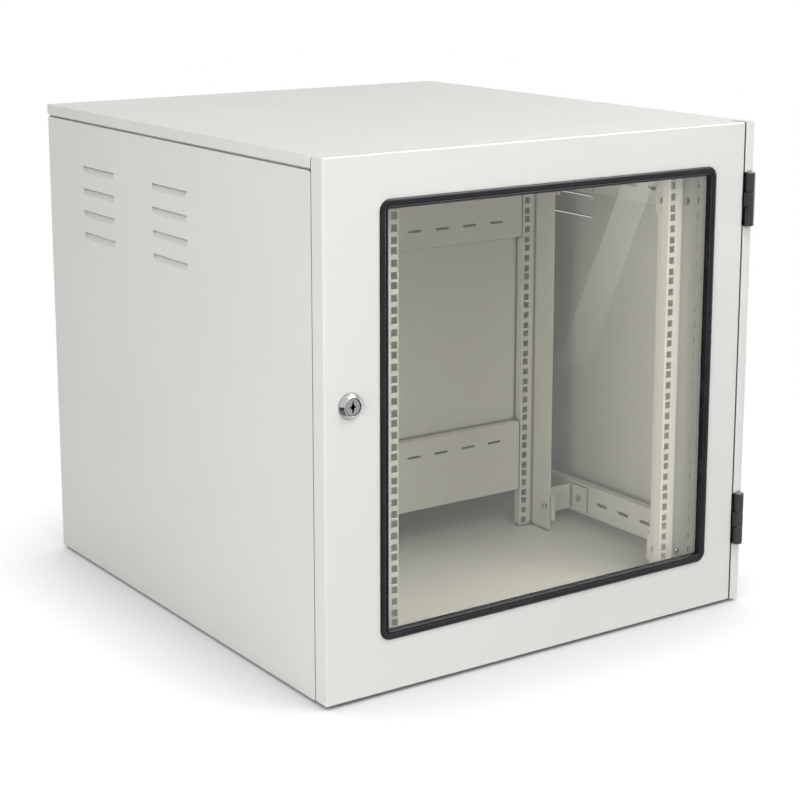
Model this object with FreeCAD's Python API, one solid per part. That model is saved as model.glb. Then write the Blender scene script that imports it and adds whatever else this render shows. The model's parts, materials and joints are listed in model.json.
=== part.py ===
import FreeCAD, Part
import os
from math import cos, radians, sin, sqrt

V = FreeCAD.Vector

# Overall size: across the roof, floor to roof, door face to rear panel
WIDTH = 710.0
HEIGHT = 700.0
DEPTH = 780.0
SHEET = 1.5
BEND = 2.5
BODY_LIFT = 4.0
FIT_GAP = 0.2

# Door, its seam to the hinge post, its gap to the body and the foam seal in that gap
DOOR_THICK = 25.0
DOOR_GAP = 3.0
DOOR_LIFT = 1.0
DOOR_LIP = 16.0
POST_WIDTH = 15.5
POST_FOOT = 11.0
SEAM = 2.0
SEAL_INSET = 4.0
SEAL_WIDTH = 8.0
SEAL_THICK = 2.6
SEAL_CORNER = 9.0

# Window: margins of the rubber glazing profile from the door's edges, then its section
WINDOW_LEFT = 82.0
WINDOW_RIGHT = 53.0
WINDOW_BOTTOM = 70.0
WINDOW_TOP = 57.0
GASKET_WIDTH = 13.0
GASKET_CORNER = 15.0
GASKET_PROUD = 3.0
GASKET_CROWN = 3.3
GASKET_NOSE = 1.2
GASKET_FLANK = 1.6
GASKET_BACK = 9.0
SHEET_GRIP = 5.5
GLASS_GRIP = 7.5
GLASS_SET = 2.6
GLASS_THICK = 4.0
STRIP_R = 1.6
STRIP_IN = 4.3
STRIP_BACK = 7.5
STRIP_CLEAR = 0.1

# Lock: place from the door's left edge and from the floor, then its turned pieces
LOCK_IN = 38.0
LOCK_UP = 391.0
BEZEL_R = 17.0
BEZEL_RIM = 1.2
BEZEL_FRONT_R = 12.6
BEZEL_PROUD = 7.0
BARREL_R = 10.5
BARREL_CLEAR = 0.1
BARREL_LONG = 28.0
PLUG_HEAD_R = 11.4
PLUG_HEAD_LONG = 4.5
PLUG_SINK = 0.7
PLUG_R = 7.5
PLUG_FACE_R = 10.5
FACE_STEP = 1.2
RUNNING = 0.08
KEYWAY_HIGH = 6.4
KEYWAY_WIDE = 4.1
KEYWAY_WAIST = 1.4
KEYWAY_DEEP = 3.5
LOCK_NUT_ACROSS = 28.0
LOCK_NUT_THICK = 5.0
SHANK_SQUARE = 9.0
CAM_THICK = 2.5
CAM_HUB_R = 10.0
CAM_ARM = 14.0
CAM_REACH = 32.0
CAM_CLEAR = 0.8
CAM_STUD_R = 3.0
CAM_STUD_LONG = 5.2
CAM_NUT_ACROSS = 10.0
CAM_NUT_THICK = 4.0

# Body panels and the flanges folded from them
LEFT_RETURN = 24.0
RIGHT_RETURN = 35.0
REAR_RETURN = 25.0
PANEL_INSET = 0.5
BOTTOM_RETURN = 18.0
JOGGLE_DROP = 18.0
JOGGLE_IN = 2.3
TOP_FLANGE = 22.0
FLOOR_LEVEL = 41.5
FLOOR_LEDGE = 15.0
NOTCH_GAP = 0.5
BASE_RETURN = 60.0
SKIRT = 15.0
FRONT_APRON = 28.0
REAR_APRON = 40.0
APRON_GAP = 1.0
REAR_SIDE_MARGIN = 10.0
REAR_BOTTOM = 22.0
REAR_TOP = 680.0

# Vent louvres: slits with a blade pressed inwards, distances from the door face
LOUVRE_LONG = 101.0
LOUVRE_DEPTH = 4.5
LOUVRE_DROP = 10.0
LOUVRE_TOP = 619.0
LOUVRE_PITCH = 32.8
LOUVRE_ROWS = 4
LOUVRE_COLUMNS = (392.0, 610.0)

# Cable entry in the rear panel, with its rubber edging
ENTRY_LONG = 240.0
ENTRY_HIGH = 50.0
ENTRY_UP = 100.0
EDGING_COVER = 5.0
EDGING_WALL = 2.5
EDGING_CLEAR = 0.1

# 19-inch mounting uprights: unit, hole pattern in a unit, hole columns, section
UNIT = 44.45
UNITS = 14
UNIT_HOLES = (6.35, 22.225, 38.1)
HOLE_COLUMNS = 465.1
CLEAR_OPENING = 450.0
SQUARE_HOLE = 9.5
GRID_BOTTOM = 45.0
UPRIGHT_END = 3.0
UPRIGHT_SHEET = 2.0
UPRIGHT_FACE = 25.0
UPRIGHT_LIP = 14.0
UPRIGHT_WEB = 47.0
UPRIGHT_SETBACK = 2.0
REAR_UPRIGHT_AT = 355.0

# Slotted depth rails on the sides and slotted cross rails between the rear uprights
RAIL_WEB = 50.0
RAIL_FLANGE = 14.0
RAIL_SHEET = 2.0
RAIL_FACE = 318.0
RAIL_TAB = 21.0
RAIL_LEVELS = {"lower": 80.0, "upper": 590.0}
SLOT_LONG = 24.0
SLOT_HIGH = 5.5
SLOT_PITCH = 50.0
DEPTH_SLOTS = 14
DEPTH_SLOT_FIRST = 66.0
CROSS_HIGH = 110.0
CROSS_FLANGE = 15.0
CROSS_SLOTS = 8
CROSS_SLOT_EDGE = 26.0
CROSS_SLOT_HIGH = 3.6
CROSS_BOLT_SPREAD = 36.5
CROSS_BOLT_BACK = 7.5
CROSS_UNITS = {"lower": 2, "upper": 11}
PANEL_LAP = 6.0
PANEL_SIDE_GAP = 0.5

# Brackets from the uprights to the depth rails, and the filler strips on them
BRACKET_SHEET = 2.5
BRACKET_HIGH = 40.0
BRACKET_LEG = 40.0
BRACKET_SETBACK = 15.0
FILLER_GAP = 1.0
FILLER_SLOT_WIDE = 3.0
FILLER_SLOT_HIGH = 9.0
FILLER_SLOT_X = 292.0
FILLER_SCREW_X = 270.0

# Fasteners
M5_R = 2.45
M5_SLACK = 0.25
M5_ACROSS = 8.0
M5_HEAD = 3.6
M5_NUT = 4.0
PAN_R = 4.6
PAN_HEAD = 2.6
PAN_EDGE = 1.1
GRIP_LONG = 9.0
THIN_GRIP_LONG = 7.0
CAGE_NUT = 8.0
CAGE_NUT_THICK = 4.0
REAR_SCREW_IN = 8.5
REAR_SCREW_LEVELS = (140.0, 350.0, 640.0)
REAR_SCREW_EDGE = 9.0
HEX_SIDES = 6

# Hinges: centre heights, knuckles, the block that carries them, pin and door leaf
HINGE_LEVELS = {"upper": 592.0, "lower": 127.0}
HINGE_LONG = 75.0
KNUCKLE_MID = 21.0
KNUCKLE_GAP = 0.2
KNUCKLE_PROUD = 2.0
KNUCKLE_CHAMFER = 0.8
HINGE_BLOCK_INSET = 2.0
HINGE_SWING_GAP = 0.5
HINGE_NOTCH_GAP = 0.4
PIN_R = 2.5
PIN_HEAD_R = 4.0
PIN_HEAD = 2.0
LEAF_HIGH = 60.0
LEAF_DEEP = 23.0
LEAF_SHEET = 1.4
LEAF_NECK = 5.0
HINGE_SCREW_SPREAD = 24.0
HINGE_SCREW_BITE = 9.0

# Feet
FOOT_R = 16.0
FOOT_TOP_R = 14.5
FOOT_IN_X = 43.0
FOOT_IN_Y = 60.0
FOOT_BORE_R = 5.2
FOOT_BORE_DEEP = 3.0
FOOT_SCREW_LONG = 10.0

# Places worked out from the sizes above; the front faces -Y
FRONT = -DEPTH / 2
BACK = DEPTH / 2
DOOR_BACK = FRONT + DOOR_THICK
BODY_FRONT = DOOR_BACK + DOOR_GAP
RETURN_BACK = BODY_FRONT + SHEET
REAR_FACE = BACK - SHEET
REAR_IN = REAR_FACE - SHEET
PANEL_OUT = WIDTH / 2 - PANEL_INSET
PANEL_IN = PANEL_OUT - SHEET
BASE_OUT = PANEL_IN - FIT_GAP
BASE_BOTTOM = BODY_LIFT + SHEET
FLOOR_SEAT = FLOOR_LEVEL - SHEET
ROOF_UNDER = HEIGHT - SHEET
JOGGLE_LEVEL = HEIGHT - JOGGLE_DROP - SHEET
POST_LEFT = PANEL_OUT - POST_WIDTH
DOOR_LEFT = -WIDTH / 2
DOOR_RIGHT = POST_LEFT - SEAM
DOOR_BOTTOM = BODY_LIFT + DOOR_LIFT
GASKET_LEFT = DOOR_LEFT + WINDOW_LEFT
GASKET_RIGHT = DOOR_RIGHT - WINDOW_RIGHT
GASKET_LOW = DOOR_BOTTOM + WINDOW_BOTTOM
GASKET_HIGH = HEIGHT - WINDOW_TOP
LOCK_X = DOOR_LEFT + LOCK_IN
CAM_FRONT = RETURN_BACK + CAM_CLEAR
HINGE_X = (POST_LEFT + PANEL_OUT) / 2
HINGE_Y = FRONT - KNUCKLE_PROUD
POST_SEAT = BODY_FRONT - SHEET
KNUCKLE_R = POST_WIDTH / 2
UPRIGHT_FRONT = BODY_FRONT + UPRIGHT_SETBACK
UPRIGHT_REAR = FRONT + REAR_UPRIGHT_AT
UPRIGHT_IN = CLEAR_OPENING / 2
UPRIGHT_OUT = UPRIGHT_IN + UPRIGHT_FACE
UPRIGHT_BOTTOM = GRID_BOTTOM - UPRIGHT_END
UPRIGHT_TOP = GRID_BOTTOM + UNITS * UNIT + UPRIGHT_END
MID_PLANE = (UPRIGHT_FRONT + UPRIGHT_REAR) / 2
FIRST_SLOT = FRONT + DEPTH_SLOT_FIRST
BRACKET_FRONT = UPRIGHT_FRONT + BRACKET_SETBACK

# Directions in which a flat profile is drawn out
ALONG = {
    "x": FreeCAD.Rotation(V(1, 1, 1), 120),
    "y": FreeCAD.Rotation(V(1, 0, 0), 90),
    "z": FreeCAD.Rotation(),
}
RIGHTWARD = V(1, 0, 0)
REARWARD = V(0, 1, 0)
UPWARD = V(0, 0, 1)


def block(x0, x1, y0, y1, z0, z1):
    return Part.makeBox(x1 - x0, y1 - y0, z1 - z0, V(x0, y0, z0))


def rod(radius, start, end):
    return Part.makeCylinder(radius, start.distanceToPoint(end), start, end - start)


def hexagon(across, start, end):
    corner_r = across / sqrt(3)
    turns = [radians(360 * side / HEX_SIDES) for side in range(HEX_SIDES + 1)]
    outline = Part.makePolygon([V(corner_r * cos(a), corner_r * sin(a)) for a in turns])
    prism = Part.Face(outline).extrude(UPWARD * start.distanceToPoint(end))
    prism.Placement = FreeCAD.Placement(start, FreeCAD.Rotation(UPWARD, end - start))
    return prism


def folded(path, thickness, start, stop, along):
    # Sheet drawn out along one axis from a flat path, its thickness to the right of the path
    line = Part.makePolygon([V(u, v) for u, v in path])
    sheet = line.makeOffset2D(thickness, 0, True, True, False).extrude(UPWARD * (stop - start))
    base = {"x": V(start, 0, 0), "y": V(0, stop, 0), "z": V(0, 0, start)}[along]
    sheet.Placement = FreeCAD.Placement(base, ALONG[along])
    return sheet


def rounded_box(low, high, open_to, radius):
    # Box with every edge rounded apart from those round its open side
    box = block(low.x, high.x, low.y, high.y, low.z, high.z)
    rim = max(corner.Point.dot(open_to) for corner in box.Vertexes)
    bends = [e for e in box.Edges if min(c.Point.dot(open_to) for c in e.Vertexes) < rim - radius]
    return box.makeFillet(radius, bends)


def tray(low, high, open_to):
    # Folded tray of sheet with rounded bends, open to one side
    wall = V(SHEET, SHEET, SHEET)
    spill = open_to * (2 * SHEET)
    hollow_low = low + wall + V(min(spill.x, 0), min(spill.y, 0), min(spill.z, 0))
    hollow_high = high - wall + V(max(spill.x, 0), max(spill.y, 0), max(spill.z, 0))
    hollow = rounded_box(hollow_low, hollow_high, open_to, BEND - SHEET)
    return rounded_box(low, high, open_to, BEND).cut(hollow)


def rounded_plate(x0, x1, z0, z1, corner, y0, y1):
    plate = block(x0, x1, y0, y1, z0, z1)
    upright_edges = [e for e in plate.Edges if abs(e.Vertexes[0].Y - e.Vertexes[1].Y) > 0]
    return plate.makeFillet(corner, upright_edges)


def stadium(centre, long_way, length, height, drill):
    # Prism with two straight sides and two round ends
    radius = height / 2
    side = drill.cross(long_way).normalize() * radius
    far = centre + long_way * (length / 2 - radius)
    near = centre - long_way * (length / 2 - radius)
    outline = [
        Part.LineSegment(near + side, far + side),
        Part.Arc(far + side, far + long_way * radius, far - side),
        Part.LineSegment(far - side, near - side),
        Part.Arc(near - side, near - long_way * radius, near + side),
    ]
    return Part.Face(Part.Wire([piece.toShape() for piece in outline])).extrude(drill)


def mirror_x(shape):
    return shape.mirror(V(), RIGHTWARD)


def mirror_depth(shape):
    # Front uprights' fittings to the rear uprights
    return shape.mirror(V(0, MID_PLANE, 0), REARWARD)


def pan_screw(seat, into, length):
    crown = seat - into * PAN_HEAD
    head = rod(PAN_R, seat, crown)
    outer = [e for e in head.Edges if e.Closed and abs((e.CenterOfMass - crown).dot(into)) < PAN_EDGE]
    return head.makeFillet(PAN_EDGE, outer).fuse(rod(M5_R, seat, seat + into * length))


def screw_hole(seat, into, length):
    return rod(M5_R + M5_SLACK, seat - into * length, seat + into * length)


def hex_bolt(seat, into):
    return hexagon(M5_ACROSS, seat, seat - into * M5_HEAD).fuse(rod(M5_R, seat, seat + into * GRIP_LONG))


def hex_nut(seat, away):
    end = seat + away * M5_NUT
    return hexagon(M5_ACROSS, seat, end).cut(rod(M5_R + M5_SLACK, seat - away, end + away))


def foot_places():
    x = PANEL_OUT - FOOT_IN_X
    y_front = BODY_FRONT + FOOT_IN_Y
    y_rear = BACK - FOOT_IN_Y
    return {
        "front_left": V(-x, y_front, 0),
        "front_right": V(x, y_front, 0),
        "rear_left": V(-x, y_rear, 0),
        "rear_right": V(x, y_rear, 0),
    }


def base_floor():
    return block(-BASE_OUT, BASE_OUT, BODY_FRONT, REAR_FACE, FLOOR_SEAT, FLOOR_LEVEL)


def right_base_rail():
    # Channel along the side: its wide lower flange carries the feet, its upper one the floor
    wall = BASE_OUT - SHEET
    section = [
        (BASE_OUT - BASE_RETURN, BASE_BOTTOM + SHEET),
        (wall, BASE_BOTTOM + SHEET),
        (wall, FLOOR_SEAT - SHEET),
        (BASE_OUT - FLOOR_LEDGE, FLOOR_SEAT - SHEET),
    ]
    shape = folded(section, SHEET, RETURN_BACK, REAR_IN, "y")
    rise = UPWARD * BASE_BOTTOM
    places = [place for place in foot_places().values() if place.x > 0]
    return shape.cut([screw_hole(place + rise, UPWARD, SHEET * 2) for place in places])


def front_base_skirt():
    # Strip on edge under the floor, welded across the ends of the side rails
    return block(-BASE_OUT, BASE_OUT, BODY_FRONT, RETURN_BACK, BASE_BOTTOM, FLOOR_SEAT)


def rear_base_skirt():
    skirt = block(-BASE_OUT, BASE_OUT, REAR_IN, REAR_FACE, BASE_BOTTOM, FLOOR_SEAT)
    return skirt.cut(screw_hole(rear_screw_places()["bottom"], REARWARD, SHEET * 4))


def roof_lid():
    low = V(-WIDTH / 2, BODY_FRONT, HEIGHT - SKIRT)
    shape = tray(low, V(WIDTH / 2, BACK, HEIGHT), -UPWARD)
    left = -PANEL_IN + LEFT_RETURN + APRON_GAP
    right = PANEL_IN - RIGHT_RETURN - APRON_GAP
    rear = PANEL_IN - REAR_RETURN - APRON_GAP
    front_apron = block(left, right, BODY_FRONT, RETURN_BACK, HEIGHT - FRONT_APRON, HEIGHT - SKIRT + SHEET)
    rear_apron = block(-rear, rear, REAR_IN, REAR_FACE, HEIGHT - REAR_APRON, ROOF_UNDER)
    shape = shape.fuse(front_apron).fuse(rear_apron)
    return shape.cut(screw_hole(rear_screw_places()["top"], REARWARD, SHEET * 4))


def scoop(depth, drop, y_mid, z_top):
    # Wedge that deepens inwards to its top edge, with half-cone ends
    run = LOUVRE_LONG / 2 - LOUVRE_DEPTH
    corners = [V(PANEL_OUT, 0, z_top), V(PANEL_OUT - depth, 0, z_top), V(PANEL_OUT, 0, z_top - drop)]
    wedge = Part.Face(Part.makePolygon(corners + corners[:1])).extrude(REARWARD * (2 * run))
    wedge.translate(REARWARD * (y_mid - run))
    ends = []
    for y in (y_mid - run, y_mid + run):
        foot = V(PANEL_OUT, y, z_top - drop)
        cone = Part.makeCone(0, depth, drop, foot, UPWARD, 180)
        cone.rotate(foot, UPWARD, 90)
        ends.append(cone)
    return wedge.fuse(ends)


def with_louvres(panel):
    slope = LOUVRE_DEPTH / LOUVRE_DROP
    blade = SHEET * sqrt(1 + slope * slope)
    voids = []
    hoods = []
    for column in LOUVRE_COLUMNS:
        for row in range(LOUVRE_ROWS):
            z_top = LOUVRE_TOP - row * LOUVRE_PITCH
            void = scoop(LOUVRE_DEPTH, LOUVRE_DROP, FRONT + column, z_top)
            hood = scoop(LOUVRE_DEPTH + blade, LOUVRE_DROP + blade / slope, FRONT + column, z_top)
            voids.append(void)
            hoods.append(hood.cut(void))
    return panel.cut(voids).fuse(hoods)


def right_panel(front_return):
    # Side wall with its front and rear returns, then its bottom return, joggle and top flange
    plan = [
        (PANEL_IN - front_return, RETURN_BACK),
        (PANEL_IN, RETURN_BACK),
        (PANEL_IN, REAR_IN),
        (PANEL_IN - REAR_RETURN, REAR_IN),
    ]
    section = [
        (PANEL_IN - BOTTOM_RETURN, BASE_BOTTOM),
        (PANEL_IN, BASE_BOTTOM),
        (PANEL_IN, JOGGLE_LEVEL),
        (PANEL_IN - JOGGLE_IN, JOGGLE_LEVEL),
        (PANEL_IN - JOGGLE_IN, ROOF_UNDER - SHEET),
        (PANEL_IN - TOP_FLANGE, ROOF_UNDER - SHEET),
    ]
    wall = folded(plan, SHEET, BASE_BOTTOM, JOGGLE_LEVEL, "z")
    # The flanges keep clear of the inner bends at the roof's front and rear edges
    bend_in = BEND - SHEET
    wall = wall.fuse(folded(section, SHEET, RETURN_BACK + bend_in, REAR_IN - bend_in, "y"))
    inner = PANEL_IN - RIGHT_RETURN - SHEET
    notch_top = FLOOR_LEVEL + NOTCH_GAP
    notches = [
        block(inner, PANEL_IN, BODY_FRONT - SHEET, RETURN_BACK, BASE_BOTTOM, notch_top),
        block(inner, PANEL_IN, REAR_IN, REAR_FACE + SHEET, BASE_BOTTOM, notch_top),
    ]
    holes = [screw_hole(p, REARWARD, SHEET * 4) for p in rear_screw_places().values() if p.x > 0]
    return with_louvres(wall.cut(notches + holes))


def right_side_panel():
    holes = [screw_hole(p, REARWARD, SHEET * 2) for p in hinge_screw_places()]
    return right_panel(RIGHT_RETURN).cut(holes)


def left_side_panel():
    return mirror_x(right_panel(LEFT_RETURN))


def rear_screw_places():
    x = PANEL_OUT - REAR_SIDE_MARGIN - REAR_SCREW_IN
    places = {
        "bottom": V(0, BACK, REAR_BOTTOM + REAR_SCREW_EDGE),
        "top": V(0, BACK, REAR_TOP - REAR_SCREW_EDGE),
    }
    for level in REAR_SCREW_LEVELS:
        places[f"left {level}"] = V(-x, BACK, level)
        places[f"right {level}"] = V(x, BACK, level)
    return places


def cable_entry(grow, y0, y1):
    centre = V(0, y0, ENTRY_UP)
    return stadium(centre, RIGHTWARD, ENTRY_LONG + 2 * grow, ENTRY_HIGH + 2 * grow, REARWARD * (y1 - y0))


def rear_panel():
    x = PANEL_OUT - REAR_SIDE_MARGIN
    plate = rounded_plate(-x, x, REAR_BOTTOM, REAR_TOP, BEND, REAR_FACE, BACK)
    holes = [screw_hole(place, REARWARD, SHEET * 2) for place in rear_screw_places().values()]
    return plate.cut(holes + [cable_entry(0, REAR_IN, BACK + SHEET)])


def rear_panel_screws():
    screws = [pan_screw(place, -REARWARD, THIN_GRIP_LONG) for place in rear_screw_places().values()]
    return Part.Compound(screws)


def cable_entry_edging():
    # Rubber channel pushed over the edge of the cable entry
    inside = REAR_FACE - EDGING_WALL
    outside = BACK + EDGING_WALL
    lips = cable_entry(EDGING_COVER, inside, REAR_FACE).fuse(cable_entry(EDGING_COVER, BACK, outside))
    liner = cable_entry(-EDGING_CLEAR, inside, outside)
    return lips.fuse(liner).cut(cable_entry(-EDGING_WALL, inside - SHEET, outside + SHEET))


def hinge_post():
    # Narrow closed channel beside the door, notched for the two hinges
    inner = POST_LEFT + SHEET
    plan = [
        (inner, BODY_FRONT),
        (inner, FRONT + SHEET),
        (PANEL_IN, FRONT + SHEET),
        (PANEL_IN, BODY_FRONT),
    ]
    shape = folded(plan, SHEET, DOOR_BOTTOM, HEIGHT, "z")
    shape = shape.fuse(block(inner, inner + POST_FOOT, POST_SEAT, BODY_FRONT, DOOR_BOTTOM, HEIGHT))
    for z in (DOOR_BOTTOM, ROOF_UNDER):
        cap = block(inner, PANEL_IN, FRONT + SHEET, POST_SEAT, z, z + SHEET)
        shape = shape.fuse(cap)
    half = HINGE_LONG / 2 + HINGE_NOTCH_GAP
    y0 = FRONT - SEAM
    y1 = HINGE_Y + KNUCKLE_R + HINGE_NOTCH_GAP
    cuts = [screw_hole(place, REARWARD, SHEET * 4) for place in hinge_screw_places()]
    for level in HINGE_LEVELS.values():
        cuts.append(block(POST_LEFT - SEAM, PANEL_OUT + SEAM, y0, y1, level - half, level + half))
    return shape.cut(cuts)


def hinge_screw_places():
    offsets = (-HINGE_SCREW_SPREAD, HINGE_SCREW_SPREAD)
    return [V(HINGE_X, RETURN_BACK, level + off) for level in HINGE_LEVELS.values() for off in offsets]


def hinge_screw_length():
    return RETURN_BACK - POST_SEAT + HINGE_SCREW_BITE


def hinge_screws():
    return Part.Compound([pan_screw(p, -REARWARD, hinge_screw_length()) for p in hinge_screw_places()])


def knuckle(z0, z1):
    barrel = rod(KNUCKLE_R, V(HINGE_X, HINGE_Y, z0), V(HINGE_X, HINGE_Y, z1))
    rims = [edge for edge in barrel.Edges if len(edge.Vertexes) == 1]
    return barrel.makeChamfer(KNUCKLE_CHAMFER, rims)


def pin_bore(radius, z0, z1):
    return rod(radius, V(HINGE_X, HINGE_Y, z0), V(HINGE_X, HINGE_Y, z1))


def hinge_body(level):
    # Two fixed knuckles on a block that goes through the post's notch to its foot
    half = HINGE_LONG / 2
    mid = KNUCKLE_MID / 2
    reach = KNUCKLE_R - HINGE_BLOCK_INSET
    z0 = level - half + SHEET
    z1 = level + half - SHEET
    seat = block(HINGE_X - reach, HINGE_X + reach, HINGE_Y, POST_SEAT, z0, z1)
    seat = seat.cut(pin_bore(KNUCKLE_R + HINGE_SWING_GAP, level - mid, level + mid))
    shape = seat.fuse([knuckle(level - half, level - mid), knuckle(level + mid, level + half)])
    head = pin_bore(PIN_HEAD_R + RUNNING, level + half - PIN_HEAD, level + half)
    drill = REARWARD * (hinge_screw_length() + SHEET)
    holes = [rod(M5_R + M5_SLACK, place, place - drill) for place in hinge_screw_places()]
    return shape.cut([pin_bore(PIN_R + RUNNING, level - half, level + half), head] + holes)


def hinge_pin(level):
    half = HINGE_LONG / 2
    head = pin_bore(PIN_HEAD_R, level + half - PIN_HEAD, level + half)
    return head.fuse(pin_bore(PIN_R, level - half, level + half))


def hinge_leaf(level):
    # Middle knuckle, its neck through the seam and the leaf on the door's edge
    mid = KNUCKLE_MID / 2 - KNUCKLE_GAP
    tall = LEAF_HIGH / 2
    plate = block(DOOR_RIGHT, DOOR_RIGHT + LEAF_SHEET, FRONT, FRONT + LEAF_DEEP, level - tall, level + tall)
    y0 = HINGE_Y - KNUCKLE_PROUD
    y1 = FRONT + KNUCKLE_PROUD
    neck = block(DOOR_RIGHT, DOOR_RIGHT + LEAF_NECK, y0, y1, level - mid, level + mid)
    shape = knuckle(level - mid, level + mid).fuse([neck, plate])
    return shape.cut(pin_bore(PIN_R + RUNNING, level - mid, level + mid))


def door_shell():
    low = V(DOOR_LEFT, FRONT, DOOR_BOTTOM)
    shape = tray(low, V(DOOR_RIGHT, DOOR_BACK, HEIGHT), REARWARD)
    inner = (DOOR_LEFT + DOOR_LIP, DOOR_RIGHT - DOOR_LIP, DOOR_BOTTOM + DOOR_LIP, HEIGHT - DOOR_LIP)
    outer = (DOOR_LEFT, DOOR_RIGHT, DOOR_BOTTOM, HEIGHT)
    lip = rounded_plate(*outer, BEND, DOOR_BACK - SHEET, DOOR_BACK)
    shape = shape.fuse(lip.cut(block(*inner[:2], DOOR_BACK - BEND, DOOR_BACK + BEND, *inner[2:])))
    window = glazing_plate(SHEET_GRIP, FRONT - SHEET, FRONT + 2 * SHEET)
    lock_at = V(LOCK_X, FRONT, LOCK_UP)
    lock_hole = rod(BARREL_R + BARREL_CLEAR, lock_at - REARWARD * SHEET, lock_at + REARWARD * (2 * SHEET))
    return shape.cut([window, lock_hole])


def glazing_plate(inset, y0, y1):
    edges = (GASKET_LEFT + inset, GASKET_RIGHT - inset, GASKET_LOW + inset, GASKET_HIGH - inset)
    return rounded_plate(*edges, GASKET_CORNER - inset, y0, y1)


def rounding(start, corner, end):
    # Quarter circle in place of a square corner
    centre = start + end - corner
    return Part.Arc(start, centre + (corner - centre) * (1 / sqrt(2)), end)


def glazing_path():
    # Outer edge of the glazing profile on the door's face, from the middle of its lower run
    turn = GASKET_CORNER
    x0, x1, z0, z1 = GASKET_LEFT, GASKET_RIGHT, GASKET_LOW, GASKET_HIGH
    middle = V((x0 + x1) / 2, FRONT, z0)

    def at(x, z):
        return V(x, FRONT, z)

    pieces = [
        Part.LineSegment(middle, at(x1 - turn, z0)),
        rounding(at(x1 - turn, z0), at(x1, z0), at(x1, z0 + turn)),
        Part.LineSegment(at(x1, z0 + turn), at(x1, z1 - turn)),
        rounding(at(x1, z1 - turn), at(x1, z1), at(x1 - turn, z1)),
        Part.LineSegment(at(x1 - turn, z1), at(x0 + turn, z1)),
        rounding(at(x0 + turn, z1), at(x0, z1), at(x0, z1 - turn)),
        Part.LineSegment(at(x0, z1 - turn), at(x0, z0 + turn)),
        rounding(at(x0, z0 + turn), at(x0, z0), at(x0 + turn, z0)),
        Part.LineSegment(at(x0 + turn, z0), middle),
    ]
    return Part.Wire([piece.toShape() for piece in pieces])


def glazing_point(inward, rearward):
    # Point of the glazing profile's section, at the middle of its lower run
    return V((GASKET_LEFT + GASKET_RIGHT) / 2, FRONT + rearward, GASKET_LOW + inward)


def swept_round_window(section):
    sweep = Part.BRepOffsetAPI.MakePipeShell(glazing_path())
    sweep.setBiNormalMode(REARWARD)
    sweep.add(section)
    sweep.build()
    sweep.makeSolid()
    return sweep.shape()


def strip_section(radius):
    return Part.Wire(Part.makeCircle(radius, glazing_point(STRIP_IN, STRIP_BACK), RIGHTWARD))


def window_gasket():
    # Rubber glazing profile: one groove grips the door skin, the other the glass
    at = glazing_point
    front = -GASKET_PROUD
    flank = GASKET_WIDTH - GASKET_FLANK
    nose = flank - GASKET_NOSE
    glass_back = GLASS_SET + GLASS_THICK
    crown = at((GASKET_PROUD + nose) / 2, -GASKET_CROWN)
    heel = at(GASKET_WIDTH / 2, GASKET_BACK)
    outline = [
        rounding(at(0, 0), at(0, front), at(GASKET_PROUD, front)),
        Part.Arc(at(GASKET_PROUD, front), crown, at(nose, front)),
        rounding(at(nose, front), at(flank, front), at(flank, front + GASKET_NOSE)),
        Part.LineSegment(at(flank, front + GASKET_NOSE), at(GASKET_WIDTH, GLASS_SET)),
        Part.LineSegment(at(GASKET_WIDTH, GLASS_SET), at(GLASS_GRIP, GLASS_SET)),
        Part.LineSegment(at(GLASS_GRIP, GLASS_SET), at(GLASS_GRIP, glass_back)),
        Part.LineSegment(at(GLASS_GRIP, glass_back), at(GASKET_WIDTH, glass_back)),
        Part.Arc(at(GASKET_WIDTH, glass_back), heel, at(0, SHEET)),
        Part.LineSegment(at(0, SHEET), at(SHEET_GRIP, SHEET)),
        Part.LineSegment(at(SHEET_GRIP, SHEET), at(SHEET_GRIP, 0)),
        Part.LineSegment(at(SHEET_GRIP, 0), at(0, 0)),
    ]
    profile = swept_round_window(Part.Wire([piece.toShape() for piece in outline]))
    return profile.cut(swept_round_window(strip_section(STRIP_R + STRIP_CLEAR)))


def gasket_locking_strip():
    return swept_round_window(strip_section(STRIP_R))


def window_pane():
    return glazing_plate(GLASS_GRIP + STRIP_CLEAR, FRONT + GLASS_SET, FRONT + GLASS_SET + GLASS_THICK)


def door_seal():
    def plate(inset, corner):
        edges = (DOOR_LEFT + inset, DOOR_RIGHT - inset, DOOR_BOTTOM + inset, HEIGHT - inset)
        return rounded_plate(*edges, corner, DOOR_BACK, DOOR_BACK + SEAL_THICK)

    return plate(SEAL_INSET, SEAL_CORNER).cut(plate(SEAL_INSET + SEAL_WIDTH, SEAL_CORNER - SEAL_WIDTH))


def turned(profile):
    # Piece turned about the lock's axis from radius and depth pairs
    points = [V(LOCK_X + r, y, LOCK_UP) for r, y in profile]
    face = Part.Face(Part.makePolygon(points + points[:1]))
    return face.revolve(V(LOCK_X, 0, LOCK_UP), REARWARD, 360)


def lock_depths():
    # Depths of the plug's face, its shoulder and the end of its round part
    face = FRONT - BEZEL_PROUD + PLUG_SINK
    return face, face + PLUG_HEAD_LONG, CAM_FRONT - CAM_CLEAR


def lock_housing():
    bezel = FRONT - BEZEL_PROUD
    seat = lock_depths()[1] + RUNNING
    head_bore = PLUG_HEAD_R + RUNNING
    bore = PLUG_R + RUNNING
    end = FRONT + BARREL_LONG
    return turned([
        (head_bore, bezel),
        (BEZEL_FRONT_R, bezel),
        (BEZEL_R, FRONT - BEZEL_RIM),
        (BEZEL_R, FRONT),
        (BARREL_R, FRONT),
        (BARREL_R, end),
        (bore, end),
        (bore, seat),
        (head_bore, seat),
    ])


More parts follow.
